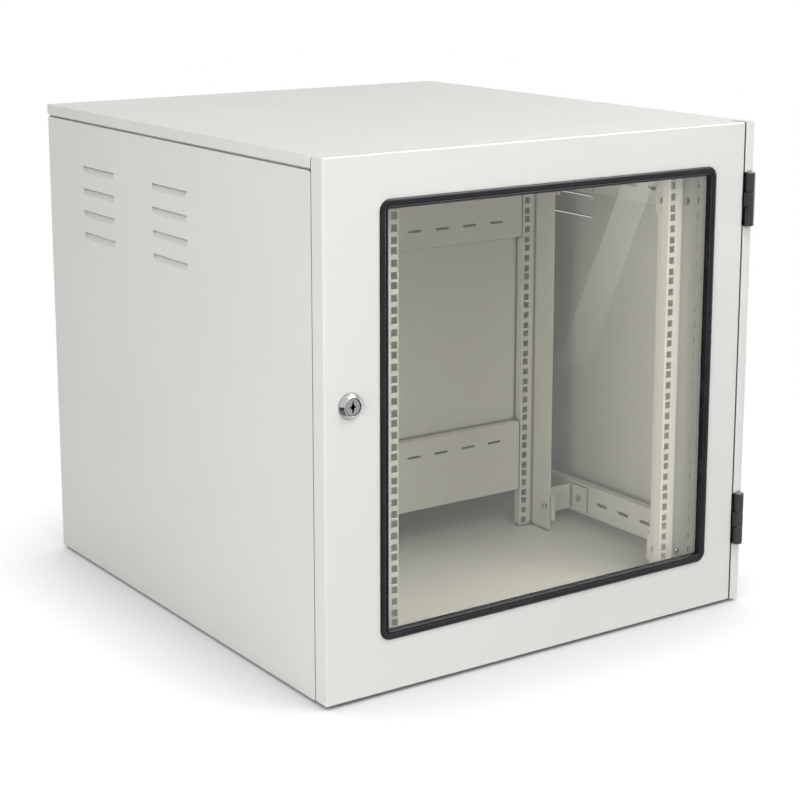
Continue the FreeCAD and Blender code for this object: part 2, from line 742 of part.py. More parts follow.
def lock_nut():
    start = V(LOCK_X, FRONT + SHEET, LOCK_UP)
    end = start + REARWARD * LOCK_NUT_THICK
    bore = rod(BARREL_R + BARREL_CLEAR, start - REARWARD, end + REARWARD)
    return hexagon(LOCK_NUT_ACROSS, start, end).cut(bore)


def square_shank(grow, y0, y1):
    half = SHANK_SQUARE / 2 + grow
    return block(LOCK_X - half, LOCK_X + half, y0, y1, LOCK_UP - half, LOCK_UP + half)


def lock_plug():
    face, shoulder, round_end = lock_depths()
    step = face + FACE_STEP
    shape = turned([
        (0, face),
        (PLUG_FACE_R, face),
        (PLUG_FACE_R, step),
        (PLUG_HEAD_R, step),
        (PLUG_HEAD_R, shoulder),
        (PLUG_R, shoulder),
        (PLUG_R, round_end),
        (0, round_end),
    ])
    shank_end = CAM_FRONT + CAM_THICK - FIT_GAP
    stud_end = CAM_FRONT + CAM_THICK + CAM_STUD_LONG
    shape = shape.fuse(square_shank(0, round_end - CAM_CLEAR, shank_end))
    shape = shape.fuse(rod(CAM_STUD_R, V(LOCK_X, round_end, LOCK_UP), V(LOCK_X, stud_end, LOCK_UP)))
    return shape.cut(keyway(face))


def keyway(face):
    # Four-pointed star, taller than wide
    tips = ((0, KEYWAY_HIGH), (KEYWAY_WIDE, 0), (0, -KEYWAY_HIGH), (-KEYWAY_WIDE, 0))
    waist = KEYWAY_WAIST
    waists = ((waist, waist), (waist, -waist), (-waist, -waist), (-waist, waist))
    corners = [V(LOCK_X + x, face, LOCK_UP + z) for pair in zip(tips, waists) for x, z in pair]
    return Part.Face(Part.makePolygon(corners + corners[:1])).extrude(REARWARD * KEYWAY_DEEP)


def lock_cam():
    tip_r = CAM_ARM / 2
    tip = LOCK_UP - CAM_REACH + tip_r
    thick = REARWARD * CAM_THICK
    hub_at = V(LOCK_X, CAM_FRONT, LOCK_UP)
    tip_at = V(LOCK_X, CAM_FRONT, tip)
    arm = block(LOCK_X - tip_r, LOCK_X + tip_r, CAM_FRONT, CAM_FRONT + CAM_THICK, tip, LOCK_UP)
    shape = rod(CAM_HUB_R, hub_at, hub_at + thick).fuse([arm, rod(tip_r, tip_at, tip_at + thick)])
    return shape.cut(square_shank(BARREL_CLEAR, CAM_FRONT - SHEET, CAM_FRONT + CAM_THICK + SHEET))


def cam_nut():
    start = V(LOCK_X, CAM_FRONT + CAM_THICK, LOCK_UP)
    end = start + REARWARD * CAM_NUT_THICK
    bore = rod(CAM_STUD_R + BARREL_CLEAR, start - REARWARD, end + REARWARD)
    return hexagon(CAM_NUT_ACROSS, start, end).cut(bore)


def hole_levels():
    return [GRID_BOTTOM + unit * UNIT + hole for unit in range(UNITS) for hole in UNIT_HOLES]


def right_upright(plan, face, bolt_at):
    # Folded upright with the square holes in its face and bolt holes in its outer web
    sheet = UPRIGHT_SHEET
    shape = folded(plan, sheet, UPRIGHT_BOTTOM, UPRIGHT_TOP, "z")
    half = SQUARE_HOLE / 2
    x0 = HOLE_COLUMNS / 2 - half
    x1 = HOLE_COLUMNS / 2 + half
    y0 = face - 2 * sheet
    y1 = face + 2 * sheet
    holes = [block(x0, x1, y0, y1, level - half, level + half) for level in hole_levels()]
    bolt_places = [V(UPRIGHT_OUT, bolt_at, level) for level in RAIL_LEVELS.values()]
    return shape.cut(holes + [screw_hole(place, RIGHTWARD, 2 * sheet) for place in bolt_places])


def front_right_upright():
    # Channel with its inner lip and its outer web both to the rear
    inner = UPRIGHT_IN + UPRIGHT_SHEET
    outer = UPRIGHT_OUT - UPRIGHT_SHEET
    face = UPRIGHT_FRONT + UPRIGHT_SHEET
    plan = [
        (inner, UPRIGHT_FRONT + UPRIGHT_LIP),
        (inner, face),
        (outer, face),
        (outer, UPRIGHT_FRONT + UPRIGHT_WEB),
    ]
    return right_upright(plan, UPRIGHT_FRONT, FIRST_SLOT)


def rear_right_upright():
    # Stepped section: the outer web to the front, the inner lip to the rear for the cross rails
    inner = UPRIGHT_IN + UPRIGHT_SHEET
    plan = [
        (inner, UPRIGHT_REAR + UPRIGHT_LIP - UPRIGHT_SHEET),
        (inner, UPRIGHT_REAR),
        (UPRIGHT_OUT, UPRIGHT_REAR),
        (UPRIGHT_OUT, UPRIGHT_REAR - UPRIGHT_WEB),
    ]
    shape = right_upright(plan, UPRIGHT_REAR, 2 * MID_PLANE - FIRST_SLOT)
    places = [place for unit in CROSS_UNITS.values() for place in cross_bolt_places(unit)]
    return shape.cut([screw_hole(place, RIGHTWARD, 2 * UPRIGHT_SHEET) for place in places])


def right_depth_rail(level):
    # Slotted channel along the side, open towards the side panel, with a tab at each end
    sheet = RAIL_SHEET
    low = level - RAIL_WEB / 2
    high = level + RAIL_WEB / 2
    section = [
        (RAIL_FACE + RAIL_FLANGE, low + sheet),
        (RAIL_FACE + sheet, low + sheet),
        (RAIL_FACE + sheet, high - sheet),
        (RAIL_FACE + RAIL_FLANGE, high - sheet),
    ]
    shape = folded(section, -sheet, RETURN_BACK + sheet, REAR_IN - sheet, "y")
    for y in (RETURN_BACK, REAR_IN - sheet):
        shape = shape.fuse(block(RAIL_FACE, RAIL_FACE + RAIL_TAB, y, y + sheet, low, high))
    start = V(RAIL_FACE - sheet, FIRST_SLOT, level)
    slot = stadium(start, REARWARD, SLOT_LONG, SLOT_HIGH, RIGHTWARD * (3 * sheet))
    return shape.cut([slot.translated(REARWARD * (SLOT_PITCH * n)) for n in range(DEPTH_SLOTS)])


def cross_level(unit):
    return GRID_BOTTOM + unit * UNIT + UNIT_HOLES[1]


def cross_bolt_places(unit):
    # Bolts at the right end of a cross rail, from inside the rail into the upright's lip
    y = UPRIGHT_REAR + CROSS_BOLT_BACK
    level = cross_level(unit)
    return [V(UPRIGHT_IN - SHEET, y, level + off) for off in (-CROSS_BOLT_SPREAD, CROSS_BOLT_SPREAD)]


def cross_rail(unit, slot_side):
    # Slotted tray between the lips of the rear uprights, its slots towards the middle of the cabinet
    level = cross_level(unit)
    half = CROSS_HIGH / 2
    low = V(-UPRIGHT_IN, UPRIGHT_REAR, level - half)
    shape = tray(low, V(UPRIGHT_IN, UPRIGHT_REAR + CROSS_FLANGE, level + half), REARWARD)
    right_holes = [screw_hole(place, RIGHTWARD, 2 * SHEET) for place in cross_bolt_places(unit)]
    cuts = right_holes + [mirror_x(hole) for hole in right_holes]
    slot_z = level + slot_side * (half - CROSS_SLOT_EDGE)
    for n in range(CROSS_SLOTS):
        x = (n - (CROSS_SLOTS - 1) / 2) * SLOT_PITCH
        start = V(x, UPRIGHT_REAR - SHEET, slot_z)
        cuts.append(stadium(start, RIGHTWARD, SLOT_LONG, CROSS_SLOT_HIGH, REARWARD * (3 * SHEET)))
    return shape.cut(cuts)


def inner_rear_panel():
    # Plain sheet welded to the flanges of the two cross rails, over the gap between them
    half = CROSS_HIGH / 2 - PANEL_LAP
    low = cross_level(CROSS_UNITS["lower"]) + half
    high = cross_level(CROSS_UNITS["upper"]) - half
    x = UPRIGHT_IN - PANEL_SIDE_GAP
    y = UPRIGHT_REAR + CROSS_FLANGE
    return block(-x, x, y, y + SHEET, low, high)


def both_sides(pieces):
    return Part.Compound(pieces + [mirror_x(piece) for piece in pieces])


def cross_rail_bolts():
    places = [place for unit in CROSS_UNITS.values() for place in cross_bolt_places(unit)]
    return both_sides([pan_screw(place, RIGHTWARD, GRIP_LONG) for place in places])


def cage_nuts():
    # Square nuts clipped to the outer side of the rear uprights' lips
    half = CAGE_NUT / 2
    x0 = UPRIGHT_IN + UPRIGHT_SHEET
    x1 = x0 + CAGE_NUT_THICK
    nuts = []
    for unit in CROSS_UNITS.values():
        for place in cross_bolt_places(unit):
            body = block(x0, x1, place.y - half, place.y + half, place.z - half, place.z + half)
            nuts.append(body.cut(screw_hole(place, RIGHTWARD, GRIP_LONG * 2)))
    return both_sides(nuts)


def front_right_bracket(level):
    # Channel-shaped bracket between an upright's web and a depth rail
    sheet = BRACKET_SHEET
    end = BRACKET_FRONT + BRACKET_LEG
    plan = [
        (UPRIGHT_OUT + sheet, end),
        (UPRIGHT_OUT + sheet, BRACKET_FRONT + sheet),
        (RAIL_FACE - sheet, BRACKET_FRONT + sheet),
        (RAIL_FACE - sheet, end),
    ]
    shape = folded(plan, sheet, level - BRACKET_HIGH / 2, level + BRACKET_HIGH / 2, "z")
    across = RAIL_FACE - UPRIGHT_OUT
    holes = [
        screw_hole(V(UPRIGHT_OUT, FIRST_SLOT, level), RIGHTWARD, across + sheet),
        screw_hole(V(FILLER_SCREW_X, BRACKET_FRONT, level), REARWARD, 2 * sheet),
    ]
    return shape.cut(holes)


def four_corners(make):
    # The same piece at the front right and mirrored to the other three corners, on both levels
    pieces = []
    for level in RAIL_LEVELS.values():
        right = [make(level), mirror_depth(make(level))]
        pieces += right + [mirror_x(piece) for piece in right]
    return Part.Compound(pieces)


def bolts_at(level):
    upright_seat = V(UPRIGHT_OUT + BRACKET_SHEET, FIRST_SLOT, level)
    rail_seat = V(RAIL_FACE - BRACKET_SHEET, FIRST_SLOT, level)
    return Part.Compound([hex_bolt(upright_seat, -RIGHTWARD), hex_bolt(rail_seat, RIGHTWARD)])


def nuts_at(level):
    upright_seat = V(UPRIGHT_OUT - UPRIGHT_SHEET, FIRST_SLOT, level)
    rail_seat = V(RAIL_FACE + RAIL_SHEET, FIRST_SLOT, level)
    return Part.Compound([hex_nut(upright_seat, -RIGHTWARD), hex_nut(rail_seat, RIGHTWARD)])


def right_filler_strip():
    # Strip that closes the gap beside the front upright, slotted for cable ties
    x0 = UPRIGHT_OUT + FILLER_GAP
    x1 = RAIL_FACE - 2 * FILLER_GAP
    y0 = BRACKET_FRONT - SHEET
    shape = block(x0, x1, y0, BRACKET_FRONT, GRID_BOTTOM, UPRIGHT_TOP - UPRIGHT_END)
    wide = FILLER_SLOT_WIDE / 2
    high = FILLER_SLOT_HIGH / 2
    cuts = [screw_hole(V(FILLER_SCREW_X, y0, level), REARWARD, 2 * SHEET) for level in RAIL_LEVELS.values()]
    slot = block(FILLER_SLOT_X - wide, FILLER_SLOT_X + wide, y0 - SHEET, BRACKET_FRONT + SHEET, -high, high)
    step = UNIT / 2
    for n in range(2 * UNITS):
        cuts.append(slot.translated(UPWARD * (GRID_BOTTOM + step / 2 + n * step)))
    return shape.cut(cuts)


def filler_screws():
    screws = []
    for level in RAIL_LEVELS.values():
        for side in (-1, 1):
            seat = V(side * FILLER_SCREW_X, BRACKET_FRONT - SHEET, level)
            screws.append(pan_screw(seat, REARWARD, THIN_GRIP_LONG))
    return Part.Compound(screws)


def foot(place):
    shape = Part.makeCone(FOOT_R, FOOT_TOP_R, BASE_BOTTOM, place)
    counterbore = rod(FOOT_BORE_R, place, place + UPWARD * FOOT_BORE_DEEP)
    return shape.cut([counterbore, screw_hole(place, UPWARD, BASE_BOTTOM * 2)])


def foot_screws():
    seats = [place + UPWARD * FOOT_BORE_DEEP for place in foot_places().values()]
    return Part.Compound([pan_screw(seat, UPWARD, FOOT_SCREW_LONG) for seat in seats])


def all_nodes():
    nodes = {
        "base_floor": base_floor(),
        "front_base_skirt": front_base_skirt(),
        "rear_base_skirt": rear_base_skirt(),
        "right_base_rail": right_base_rail(),
        "left_base_rail": mirror_x(right_base_rail()),
        "roof_lid": roof_lid(),
        "left_side_panel": left_side_panel(),
        "right_side_panel": right_side_panel(),
        "rear_panel": rear_panel(),
        "rear_panel_screws": rear_panel_screws(),
        "cable_entry_edging": cable_entry_edging(),
        "hinge_post": hinge_post(),
        "hinge_screws": hinge_screws(),
        "front_right_upright": front_right_upright(),
        "front_left_upright": mirror_x(front_right_upright()),
        "rear_right_upright": rear_right_upright(),
        "rear_left_upright": mirror_x(rear_right_upright()),
        "upright_bolts": four_corners(bolts_at),
        "upright_nuts": four_corners(nuts_at),
        "lower_cross_rail": cross_rail(CROSS_UNITS["lower"], 1),
        "upper_cross_rail": cross_rail(CROSS_UNITS["upper"], -1),
        "inner_rear_panel": inner_rear_panel(),
        "cross_rail_bolts": cross_rail_bolts(),
        "cage_nuts": cage_nuts(),
        "right_filler_strip": right_filler_strip(),
        "left_filler_strip": mirror_x(right_filler_strip()),
        "filler_screws": filler_screws(),
        "foot_screws": foot_screws(),
        "door_shell": door_shell(),
        "window_gasket": window_gasket(),
        "gasket_locking_strip": gasket_locking_strip(),
        "window_pane": window_pane(),
        "door_seal": door_seal(),
        "lock_housing": lock_housing(),
        "lock_nut": lock_nut(),
        "lock_plug": lock_plug(),
        "lock_cam": lock_cam(),
        "cam_nut": cam_nut(),
    }
    for name, level in RAIL_LEVELS.items():
        rail = right_depth_rail(level)
        nodes[f"right_{name}_depth_rail"] = rail
        nodes[f"left_{name}_depth_rail"] = mirror_x(rail)
        bracket = front_right_bracket(level)
        for depth, piece in (("front", bracket), ("rear", mirror_depth(bracket))):
            nodes[f"{depth}_right_{name}_bracket"] = piece
            nodes[f"{depth}_left_{name}_bracket"] = mirror_x(piece)
    for name, level in HINGE_LEVELS.items():
        nodes[f"{name}_hinge_body"] = hinge_body(level)
        nodes[f"{name}_hinge_pin"] = hinge_pin(level)
        nodes[f"{name}_hinge_leaf"] = hinge_leaf(level)
    for name, place in foot_places().items():
        nodes[f"{name}_foot"] = foot(place)
    return nodes


os.makedirs("parts", exist_ok=True)
for node, shape in all_nodes().items():
    shape.exportStep(f"parts/{node}.step")
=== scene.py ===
"""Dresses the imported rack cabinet: finishes for every piece, finer fittings and a pale studio."""

import json
import logging
import math
from collections.abc import Sequence
from dataclasses import dataclass, field
from enum import Enum

import bmesh
import bpy
from mathutils import Matrix, Vector


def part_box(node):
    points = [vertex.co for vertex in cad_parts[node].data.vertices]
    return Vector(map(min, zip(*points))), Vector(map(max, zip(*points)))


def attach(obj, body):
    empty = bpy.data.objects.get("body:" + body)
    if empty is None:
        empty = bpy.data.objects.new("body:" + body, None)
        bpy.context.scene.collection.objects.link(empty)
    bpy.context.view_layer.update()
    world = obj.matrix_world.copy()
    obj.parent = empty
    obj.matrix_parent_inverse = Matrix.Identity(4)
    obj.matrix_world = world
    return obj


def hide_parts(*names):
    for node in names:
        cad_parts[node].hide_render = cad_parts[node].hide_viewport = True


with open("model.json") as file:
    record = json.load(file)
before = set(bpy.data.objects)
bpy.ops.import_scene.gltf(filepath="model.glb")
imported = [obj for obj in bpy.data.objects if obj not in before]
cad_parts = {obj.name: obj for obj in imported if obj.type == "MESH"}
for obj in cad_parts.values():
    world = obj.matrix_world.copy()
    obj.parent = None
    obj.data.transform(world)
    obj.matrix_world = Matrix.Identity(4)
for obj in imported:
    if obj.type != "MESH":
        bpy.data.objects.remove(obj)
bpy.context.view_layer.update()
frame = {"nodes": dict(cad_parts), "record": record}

Colour = tuple[float, float, float]
Place = tuple[float, float, float]
Pair = tuple[float, float]
Socket = bpy.types.NodeSocket
Input = Socket | float | Colour

LOG = logging.getLogger("rack_cabinet")
MM = 0.001
WHITE: Colour = (1.0, 1.0, 1.0)
# Corners nearer than this, in metres, are merged.
MERGE = 2e-6
# Decimals of a metre to which two corners' radii count as equal.
RADIUS_DIGITS = 5
# Steps in the rounding of a turned profile's corner.
CORNER_STEPS = 4
# Sides of a bolt's head and of a nut.
HEX_SIDES = 6
# Share of a fastener's length, from its middle, past which a corner belongs to its end.
END_SHARE = 0.49
# Range of the patch noise in which a finish goes from its smoothest to its roughest.
ROUGH_SPAN: Pair = (0.3, 0.7)
# Sockets of a Mix node that mixes colours.
MIX_SHARE = 0
MIX_FIRST = 6
MIX_SECOND = 7
MIX_RESULT = 2


class Slot(Enum):
    """Material slots of the record."""

    GREY = "grey_paint"
    INNER = "inner_grey_paint"
    ZINC = "zinc_steel"
    RUBBER = "black_rubber"
    FOAM = "grey_foam"
    GLASS = "clear_glass"
    CHROME = "lock_chrome"
    SATIN = "lock_satin_steel"
    HINGE = "hinge_black"


class Body(Enum):
    """Bodies that the pieces ride on."""

    CABINET = "cabinet"
    DOOR = "door"
    LOCK = "lock"


class Graph:
    """A shader node tree with short calls that add, set and link nodes."""

    def __init__(self, tree: bpy.types.NodeTree) -> None:
        """Start from an existing tree.

        Args:
            tree: The node tree of a material, a world or a node group.
        """
        self.tree = tree

    def add(self, kind: str, sockets: dict[str, Input] | None = None, **settings: object) -> bpy.types.Node:
        """Add a node and set it.

        Args:
            kind: The node's type name without its ShaderNode prefix.
            sockets: Values or output sockets for inputs, by name.
            settings: Properties of the node itself.

        Returns:
            The new node.
        """
        node = self.tree.nodes.new("ShaderNode" + kind)
        for name, value in settings.items():
            setattr(node, name, value)
        for name, value in (sockets or {}).items():
            self.feed(node.inputs[name], value)
        return node

    def feed(self, socket: Socket, value: Input) -> None:
        """Link an output socket to an input, or set the input's own value.

        Args:
            socket: The input.
            value: An output socket, a number or a colour.
        """
        if isinstance(value, Socket):
            self.tree.links.new(value, socket)
        elif socket.type == "RGBA" and len(value) == 3:
            socket.default_value = (*value, 1.0)
        else:
            socket.default_value = value

    def math(self, operation: str, *values: Input, clamp: bool = False) -> Socket:
        """Add a Math node.

        Args:
            operation: The Math node's operation.
            values: Its inputs in order, as sockets or numbers.
            clamp: Whether the result is kept between 0 and 1.

        Returns:
            The node's output.
        """
        node = self.add("Math", operation=operation, use_clamp=clamp)
        for socket, value in zip(node.inputs, values):
            self.feed(socket, value)
        return node.outputs[0]

    def blend(self, share: Input, first: Input, second: Input) -> Socket:
        """Mix two colours.

        Args:
            share: How much of the second colour shows.
            first: The first colour.
            second: The second colour.

        Returns:
            The mixed colour.
        """
        node = self.add("Mix", data_type="RGBA")
        self.feed(node.inputs[MIX_SHARE], share)
        self.feed(node.inputs[MIX_FIRST], first)
        self.feed(node.inputs[MIX_SECOND], second)
        return node.outputs[MIX_RESULT]

    def span(
        self, value: Input, low: float, high: float, to_low: float = 0.0, to_high: float = 1.0
    ) -> Socket:
        """Map a value from one range to another, kept inside the second.

        Args:
            value: The value.
            low: Start of its range.
            high: End of its range.
            to_low: Result at the start.
            to_high: Result at the end.

        Returns:
            The mapped value.
        """
        sockets = {"Value": value, "From Min": low, "From Max": high, "To Min": to_low, "To Max": to_high}
        return self.add("MapRange", sockets).outputs[0]

    def noise(self, place: Socket, scale: Input, detail: float) -> Socket:
        """Add a noise texture on a place.

        Args:
            place: The coordinates.
            scale: Features to a metre.
            detail: Octaves of finer noise.

        Returns:
            The noise value.
        """
        node = self.add("TexNoise", {"Vector": place, "Scale": scale, "Detail": detail})
        return node.outputs["Fac"]

    def bump(self, strength: float, distance: float, height: Socket, normal: Socket) -> Socket:
        """Raise a fine height on a normal.

        Args:
            strength: How much of it shows.
            distance: What a height of 1 stands for, in metres.
            height: The height.
            normal: The normal that it sits on.

        Returns:
            The new normal.
        """
        sockets = {"Strength": strength, "Distance": distance, "Height": height, "Normal": normal}
        return self.add("Bump", sockets).outputs["Normal"]


class Effect:
    """A shader node group that several finishes share, built once."""

    NAME = "effect"
    INPUTS: dict[str, float] = {}
    OUTPUTS: dict[str, str] = {}

    @classmethod
    def group(cls) -> bpy.types.NodeTree:
        """Return the group, building it the first time.

        Returns:
            The node group.
        """
        found = bpy.data.node_groups.get(cls.NAME)
        if found is not None:
            return found
        tree = bpy.data.node_groups.new(cls.NAME, "ShaderNodeTree")
        for name, value in cls.INPUTS.items():
            socket = tree.interface.new_socket(name, in_out="INPUT", socket_type="NodeSocketFloat")
            socket.default_value = value
        for name, kind in cls.OUTPUTS.items():
            tree.interface.new_socket(name, in_out="OUTPUT", socket_type="NodeSocket" + kind)
        graph = Graph(tree)
        inside = tree.nodes.new("NodeGroupInput")
        outside = tree.nodes.new("NodeGroupOutput")
        for name, socket in cls.build(graph, inside).items():
            graph.feed(outside.inputs[name], socket)
        return tree

    @classmethod
    def build(cls, graph: Graph, inside: bpy.types.Node) -> dict[str, Socket]:
        """Add the group's nodes.

        Args:
            graph: The group's tree.
            inside: Its input node.

        Returns:
            The output sockets by name.
        """
        raise NotImplementedError

    @classmethod
    def place(cls, graph: Graph, **values: float) -> bpy.types.Node:
        """Add the group to a material.

        Args:
            graph: The material's tree.
            values: Values of its inputs by name.

        Returns:
            The group node.
        """
        node = graph.tree.nodes.new("ShaderNodeGroup")
        node.node_tree = cls.group()
        for name, value in values.items():
            node.inputs[name].default_value = value
        return node


class CoatTexture(Effect):
    """Fine texture of a sprayed coat: soft ripple with a finer grain on it."""

    NAME = "coat_texture"
    INPUTS = {"Ripple": 420.0, "Grain": 1900.0, "Patch": 5.0}
    OUTPUTS = {"Height": "Float", "Patches": "Float"}
    RIPPLE_DETAIL = 1.0
    GRAIN_DETAIL = 0.0
    GRAIN_SHARE = 0.35
    PATCH_DETAIL = 3.0

    @classmethod
    def build(cls, graph: Graph, inside: bpy.types.Node) -> dict[str, Socket]:
        """Add the group's nodes.

        Args:
            graph: The group's tree.
            inside: Its input node.

        Returns:
            The output sockets by name.
        """
        place = graph.add("TexCoord").outputs["Object"]
        ripple = graph.noise(place, inside.outputs["Ripple"], cls.RIPPLE_DETAIL)
        grain = graph.noise(place, inside.outputs["Grain"], cls.GRAIN_DETAIL)
        fine = graph.math("MULTIPLY", grain, cls.GRAIN_SHARE)
        return {
            "Height": graph.math("ADD", ripple, fine),
            "Patches": graph.noise(place, inside.outputs["Patch"], cls.PATCH_DETAIL),
        }


class SoftEdges(Effect):
    """Rounded normal and a mask along edges."""

    NAME = "soft_edges"
    INPUTS = {"Radius": 0.0008}
    OUTPUTS = {"Normal": "Vector", "Edge": "Float"}
    SAMPLES = 4
    FLAT = 1.0
    TURNED = 0.8

    @classmethod
    def build(cls, graph: Graph, inside: bpy.types.Node) -> dict[str, Socket]:
        """Add the group's nodes.

        Args:
            graph: The group's tree.
            inside: Its input node.

        Returns:
            The output sockets by name.
        """
        bevel = graph.add("Bevel", {"Radius": inside.outputs["Radius"]}, samples=cls.SAMPLES)
        plain = graph.add("NewGeometry").outputs["Normal"]
        dot = graph.add("VectorMath", operation="DOT_PRODUCT")
        graph.feed(dot.inputs[0], bevel.outputs["Normal"])
        graph.feed(dot.inputs[1], plain)
        return {
            "Normal": bevel.outputs["Normal"],
            "Edge": graph.span(dot.outputs["Value"], cls.FLAT, cls.TURNED),
        }


class SettledDust(Effect):
    """Thin dust on faces that look up, in loose patches."""

    NAME = "settled_dust"
    INPUTS = {"Amount": 0.2, "Scale": 14.0}
    OUTPUTS = {"Mask": "Float"}
    STEEP = 0.5
    LEVEL = 1.0
    DETAIL = 5.0
    PATCH_SPAN: Pair = (0.35, 0.75)
    THINNEST = 0.2

    @classmethod
    def build(cls, graph: Graph, inside: bpy.types.Node) -> dict[str, Socket]:
        """Add the group's nodes.

        Args:
            graph: The group's tree.
            inside: Its input node.

        Returns:
            The output sockets by name.
        """
        place = graph.add("TexCoord").outputs["Object"]
        normal = graph.add("NewGeometry").outputs["Normal"]
        up = graph.add("SeparateXYZ", {"Vector": normal}).outputs["Z"]
        flat = graph.span(up, cls.STEEP, cls.LEVEL)
        loose = graph.noise(place, inside.outputs["Scale"], cls.DETAIL)
        patches = graph.span(loose, *cls.PATCH_SPAN, to_low=cls.THINNEST)
        share = graph.math("MULTIPLY", flat, patches)
        return {"Mask": graph.math("MULTIPLY", share, inside.outputs["Amount"], clamp=True)}


class PaintedCreviceShade(Effect):
    """Mask of tight inner corners, slits and seams, from ambient occlusion, where the coat is darkened as
    painted shade.
    """

    NAME = "painted_crevice_shade"
    INPUTS = {"Reach": 0.009}
    OUTPUTS = {"Mask": "Float"}
    SAMPLES = 8
    OPEN = 0.78
    CLOSED = 0.54

    @classmethod
    def build(cls, graph: Graph, inside: bpy.types.Node) -> dict[str, Socket]:
        """Add the group's nodes.

        Args:
            graph: The group's tree.
            inside: Its input node.

        Returns:
            The output sockets by name.
        """
        reach = {"Distance": inside.outputs["Reach"]}
        sky = graph.add("AmbientOcclusion", reach, samples=cls.SAMPLES).outputs["AO"]
        return {"Mask": graph.span(sky, cls.OPEN, cls.CLOSED)}


class TurnedRings(Effect):
    """Fine rings that a lathe tool leaves about an axis along Y, and the distance from that axis."""

    NAME = "turned_rings"
    INPUTS = {"Centre X": 0.0, "Centre Z": 0.0, "Rings": 3200.0}
    OUTPUTS = {"Height": "Float", "Radius": "Float"}

    @classmethod
    def build(cls, graph: Graph, inside: bpy.types.Node) -> dict[str, Socket]:
        """Add the group's nodes.

        Args:
            graph: The group's tree.
            inside: Its input node.

        Returns:
            The output sockets by name.
        """
        place = graph.add("SeparateXYZ", {"Vector": graph.add("TexCoord").outputs["Object"]})
        across = graph.math("SUBTRACT", place.outputs["X"], inside.outputs["Centre X"])
        up = graph.math("SUBTRACT", place.outputs["Z"], inside.outputs["Centre Z"])
        square = graph.math("ADD", graph.math("MULTIPLY", across, across), graph.math("MULTIPLY", up, up))
        radius = graph.math("SQRT", square)
        turns = graph.math("MULTIPLY", radius, inside.outputs["Rings"])
        return {"Height": graph.math("SINE", turns), "Radius": radius}


@dataclass(frozen=True)
class Finish:
    """A surface finish that makes one material."""

    name: str
    colour: Colour
    roughness: float
    gloss: float = 0.5

    def material(self) -> bpy.types.Material:
        """Return the finish's material, building it the first time.

        Returns:
            The material.
        """
        found = bpy.data.materials.get(self.name)
        if found is not None:
            return found
        material = bpy.data.materials.new(self.name)
        material.use_nodes = True
        tree = material.node_tree
        tree.nodes.clear()
        graph = Graph(tree)
        shader = graph.add("BsdfPrincipled", {
            "Base Color": self.colour,
            "Roughness": self.roughness,
            "Specular IOR Level": self.gloss,
        })
        output = graph.add("OutputMaterial")
        graph.feed(output.inputs["Surface"], self.dress(graph, shader))
        return material

    def dress(self, graph: Graph, shader: bpy.types.Node) -> Socket:
        """Add the finish's own nodes.

        Args:
            graph: The material's tree.
            shader: Its Principled shader.

        Returns:
            The socket that goes to the material's surface.
        """
        raise NotImplementedError


@dataclass(frozen=True)
class PowderCoat(Finish):
    """Sprayed and baked coat on sheet metal."""

    bump: float = 0.07
    bump_height: float = 0.03 * MM
    edge_radius: float = 0.9 * MM
    # Factor by which edges and bends are lightened, a painted highlight.
    painted_edge_highlight: float = 1.16
    # Share of the coat's colour left in tight corners and seams, which are painted in shade.
    crevice_shade: float = 0.2
    patch_span: Pair = (0.35, 0.65)
    patch_shade: float = 0.985
    smoother: float = 0.03
    rougher: float = 0.04
    dust: float = 0.04
    dust_rough: float = 0.4
    dust_colour: Colour = (0.62, 0.60, 0.56)

    def dress(self, graph: Graph, shader: bpy.types.Node) -> Socket:
        """Add the finish's own nodes.

        Args:
            graph: The material's tree.
            shader: Its Principled shader.

        Returns:
            The socket that goes to the material's surface.
        """
        texture = CoatTexture.place(graph)
        edges = SoftEdges.place(graph, Radius=self.edge_radius)
        dust = SettledDust.place(graph, Amount=self.dust)
        darker = tuple(part * self.patch_shade for part in self.colour)
        edge_highlight_colour = tuple(min(part * self.painted_edge_highlight, 1.0) for part in self.colour)
        patches = graph.span(texture.outputs["Patches"], *self.patch_span)
        coat = graph.blend(patches, self.colour, darker)
        # Painted highlight: the coat is lightened along its edges and bends.
        coat = graph.blend(edges.outputs["Edge"], coat, edge_highlight_colour)
        # Painted shade: the coat goes dark in tight corners, slits and seams, from an occlusion mask.
        painted_crevice_shade = PaintedCreviceShade.place(graph)
        deep = tuple(part * self.crevice_shade for part in self.colour)
        coat = graph.blend(painted_crevice_shade.outputs["Mask"], coat, deep)
        graph.feed(shader.inputs["Base Color"], graph.blend(dust.outputs["Mask"], coat, self.dust_colour))
        limits = (self.roughness - self.smoother, self.roughness + self.rougher)
        rough = graph.span(texture.outputs["Patches"], *ROUGH_SPAN, *limits)
        dusty = graph.math("MULTIPLY", dust.outputs["Mask"], self.dust_rough)
        graph.feed(shader.inputs["Roughness"], graph.math("ADD", rough, dusty))
        normal = graph.bump(self.bump, self.bump_height, texture.outputs["Height"], edges.outputs["Normal"])
        graph.feed(shader.inputs["Normal"], normal)
        return shader.outputs[0]


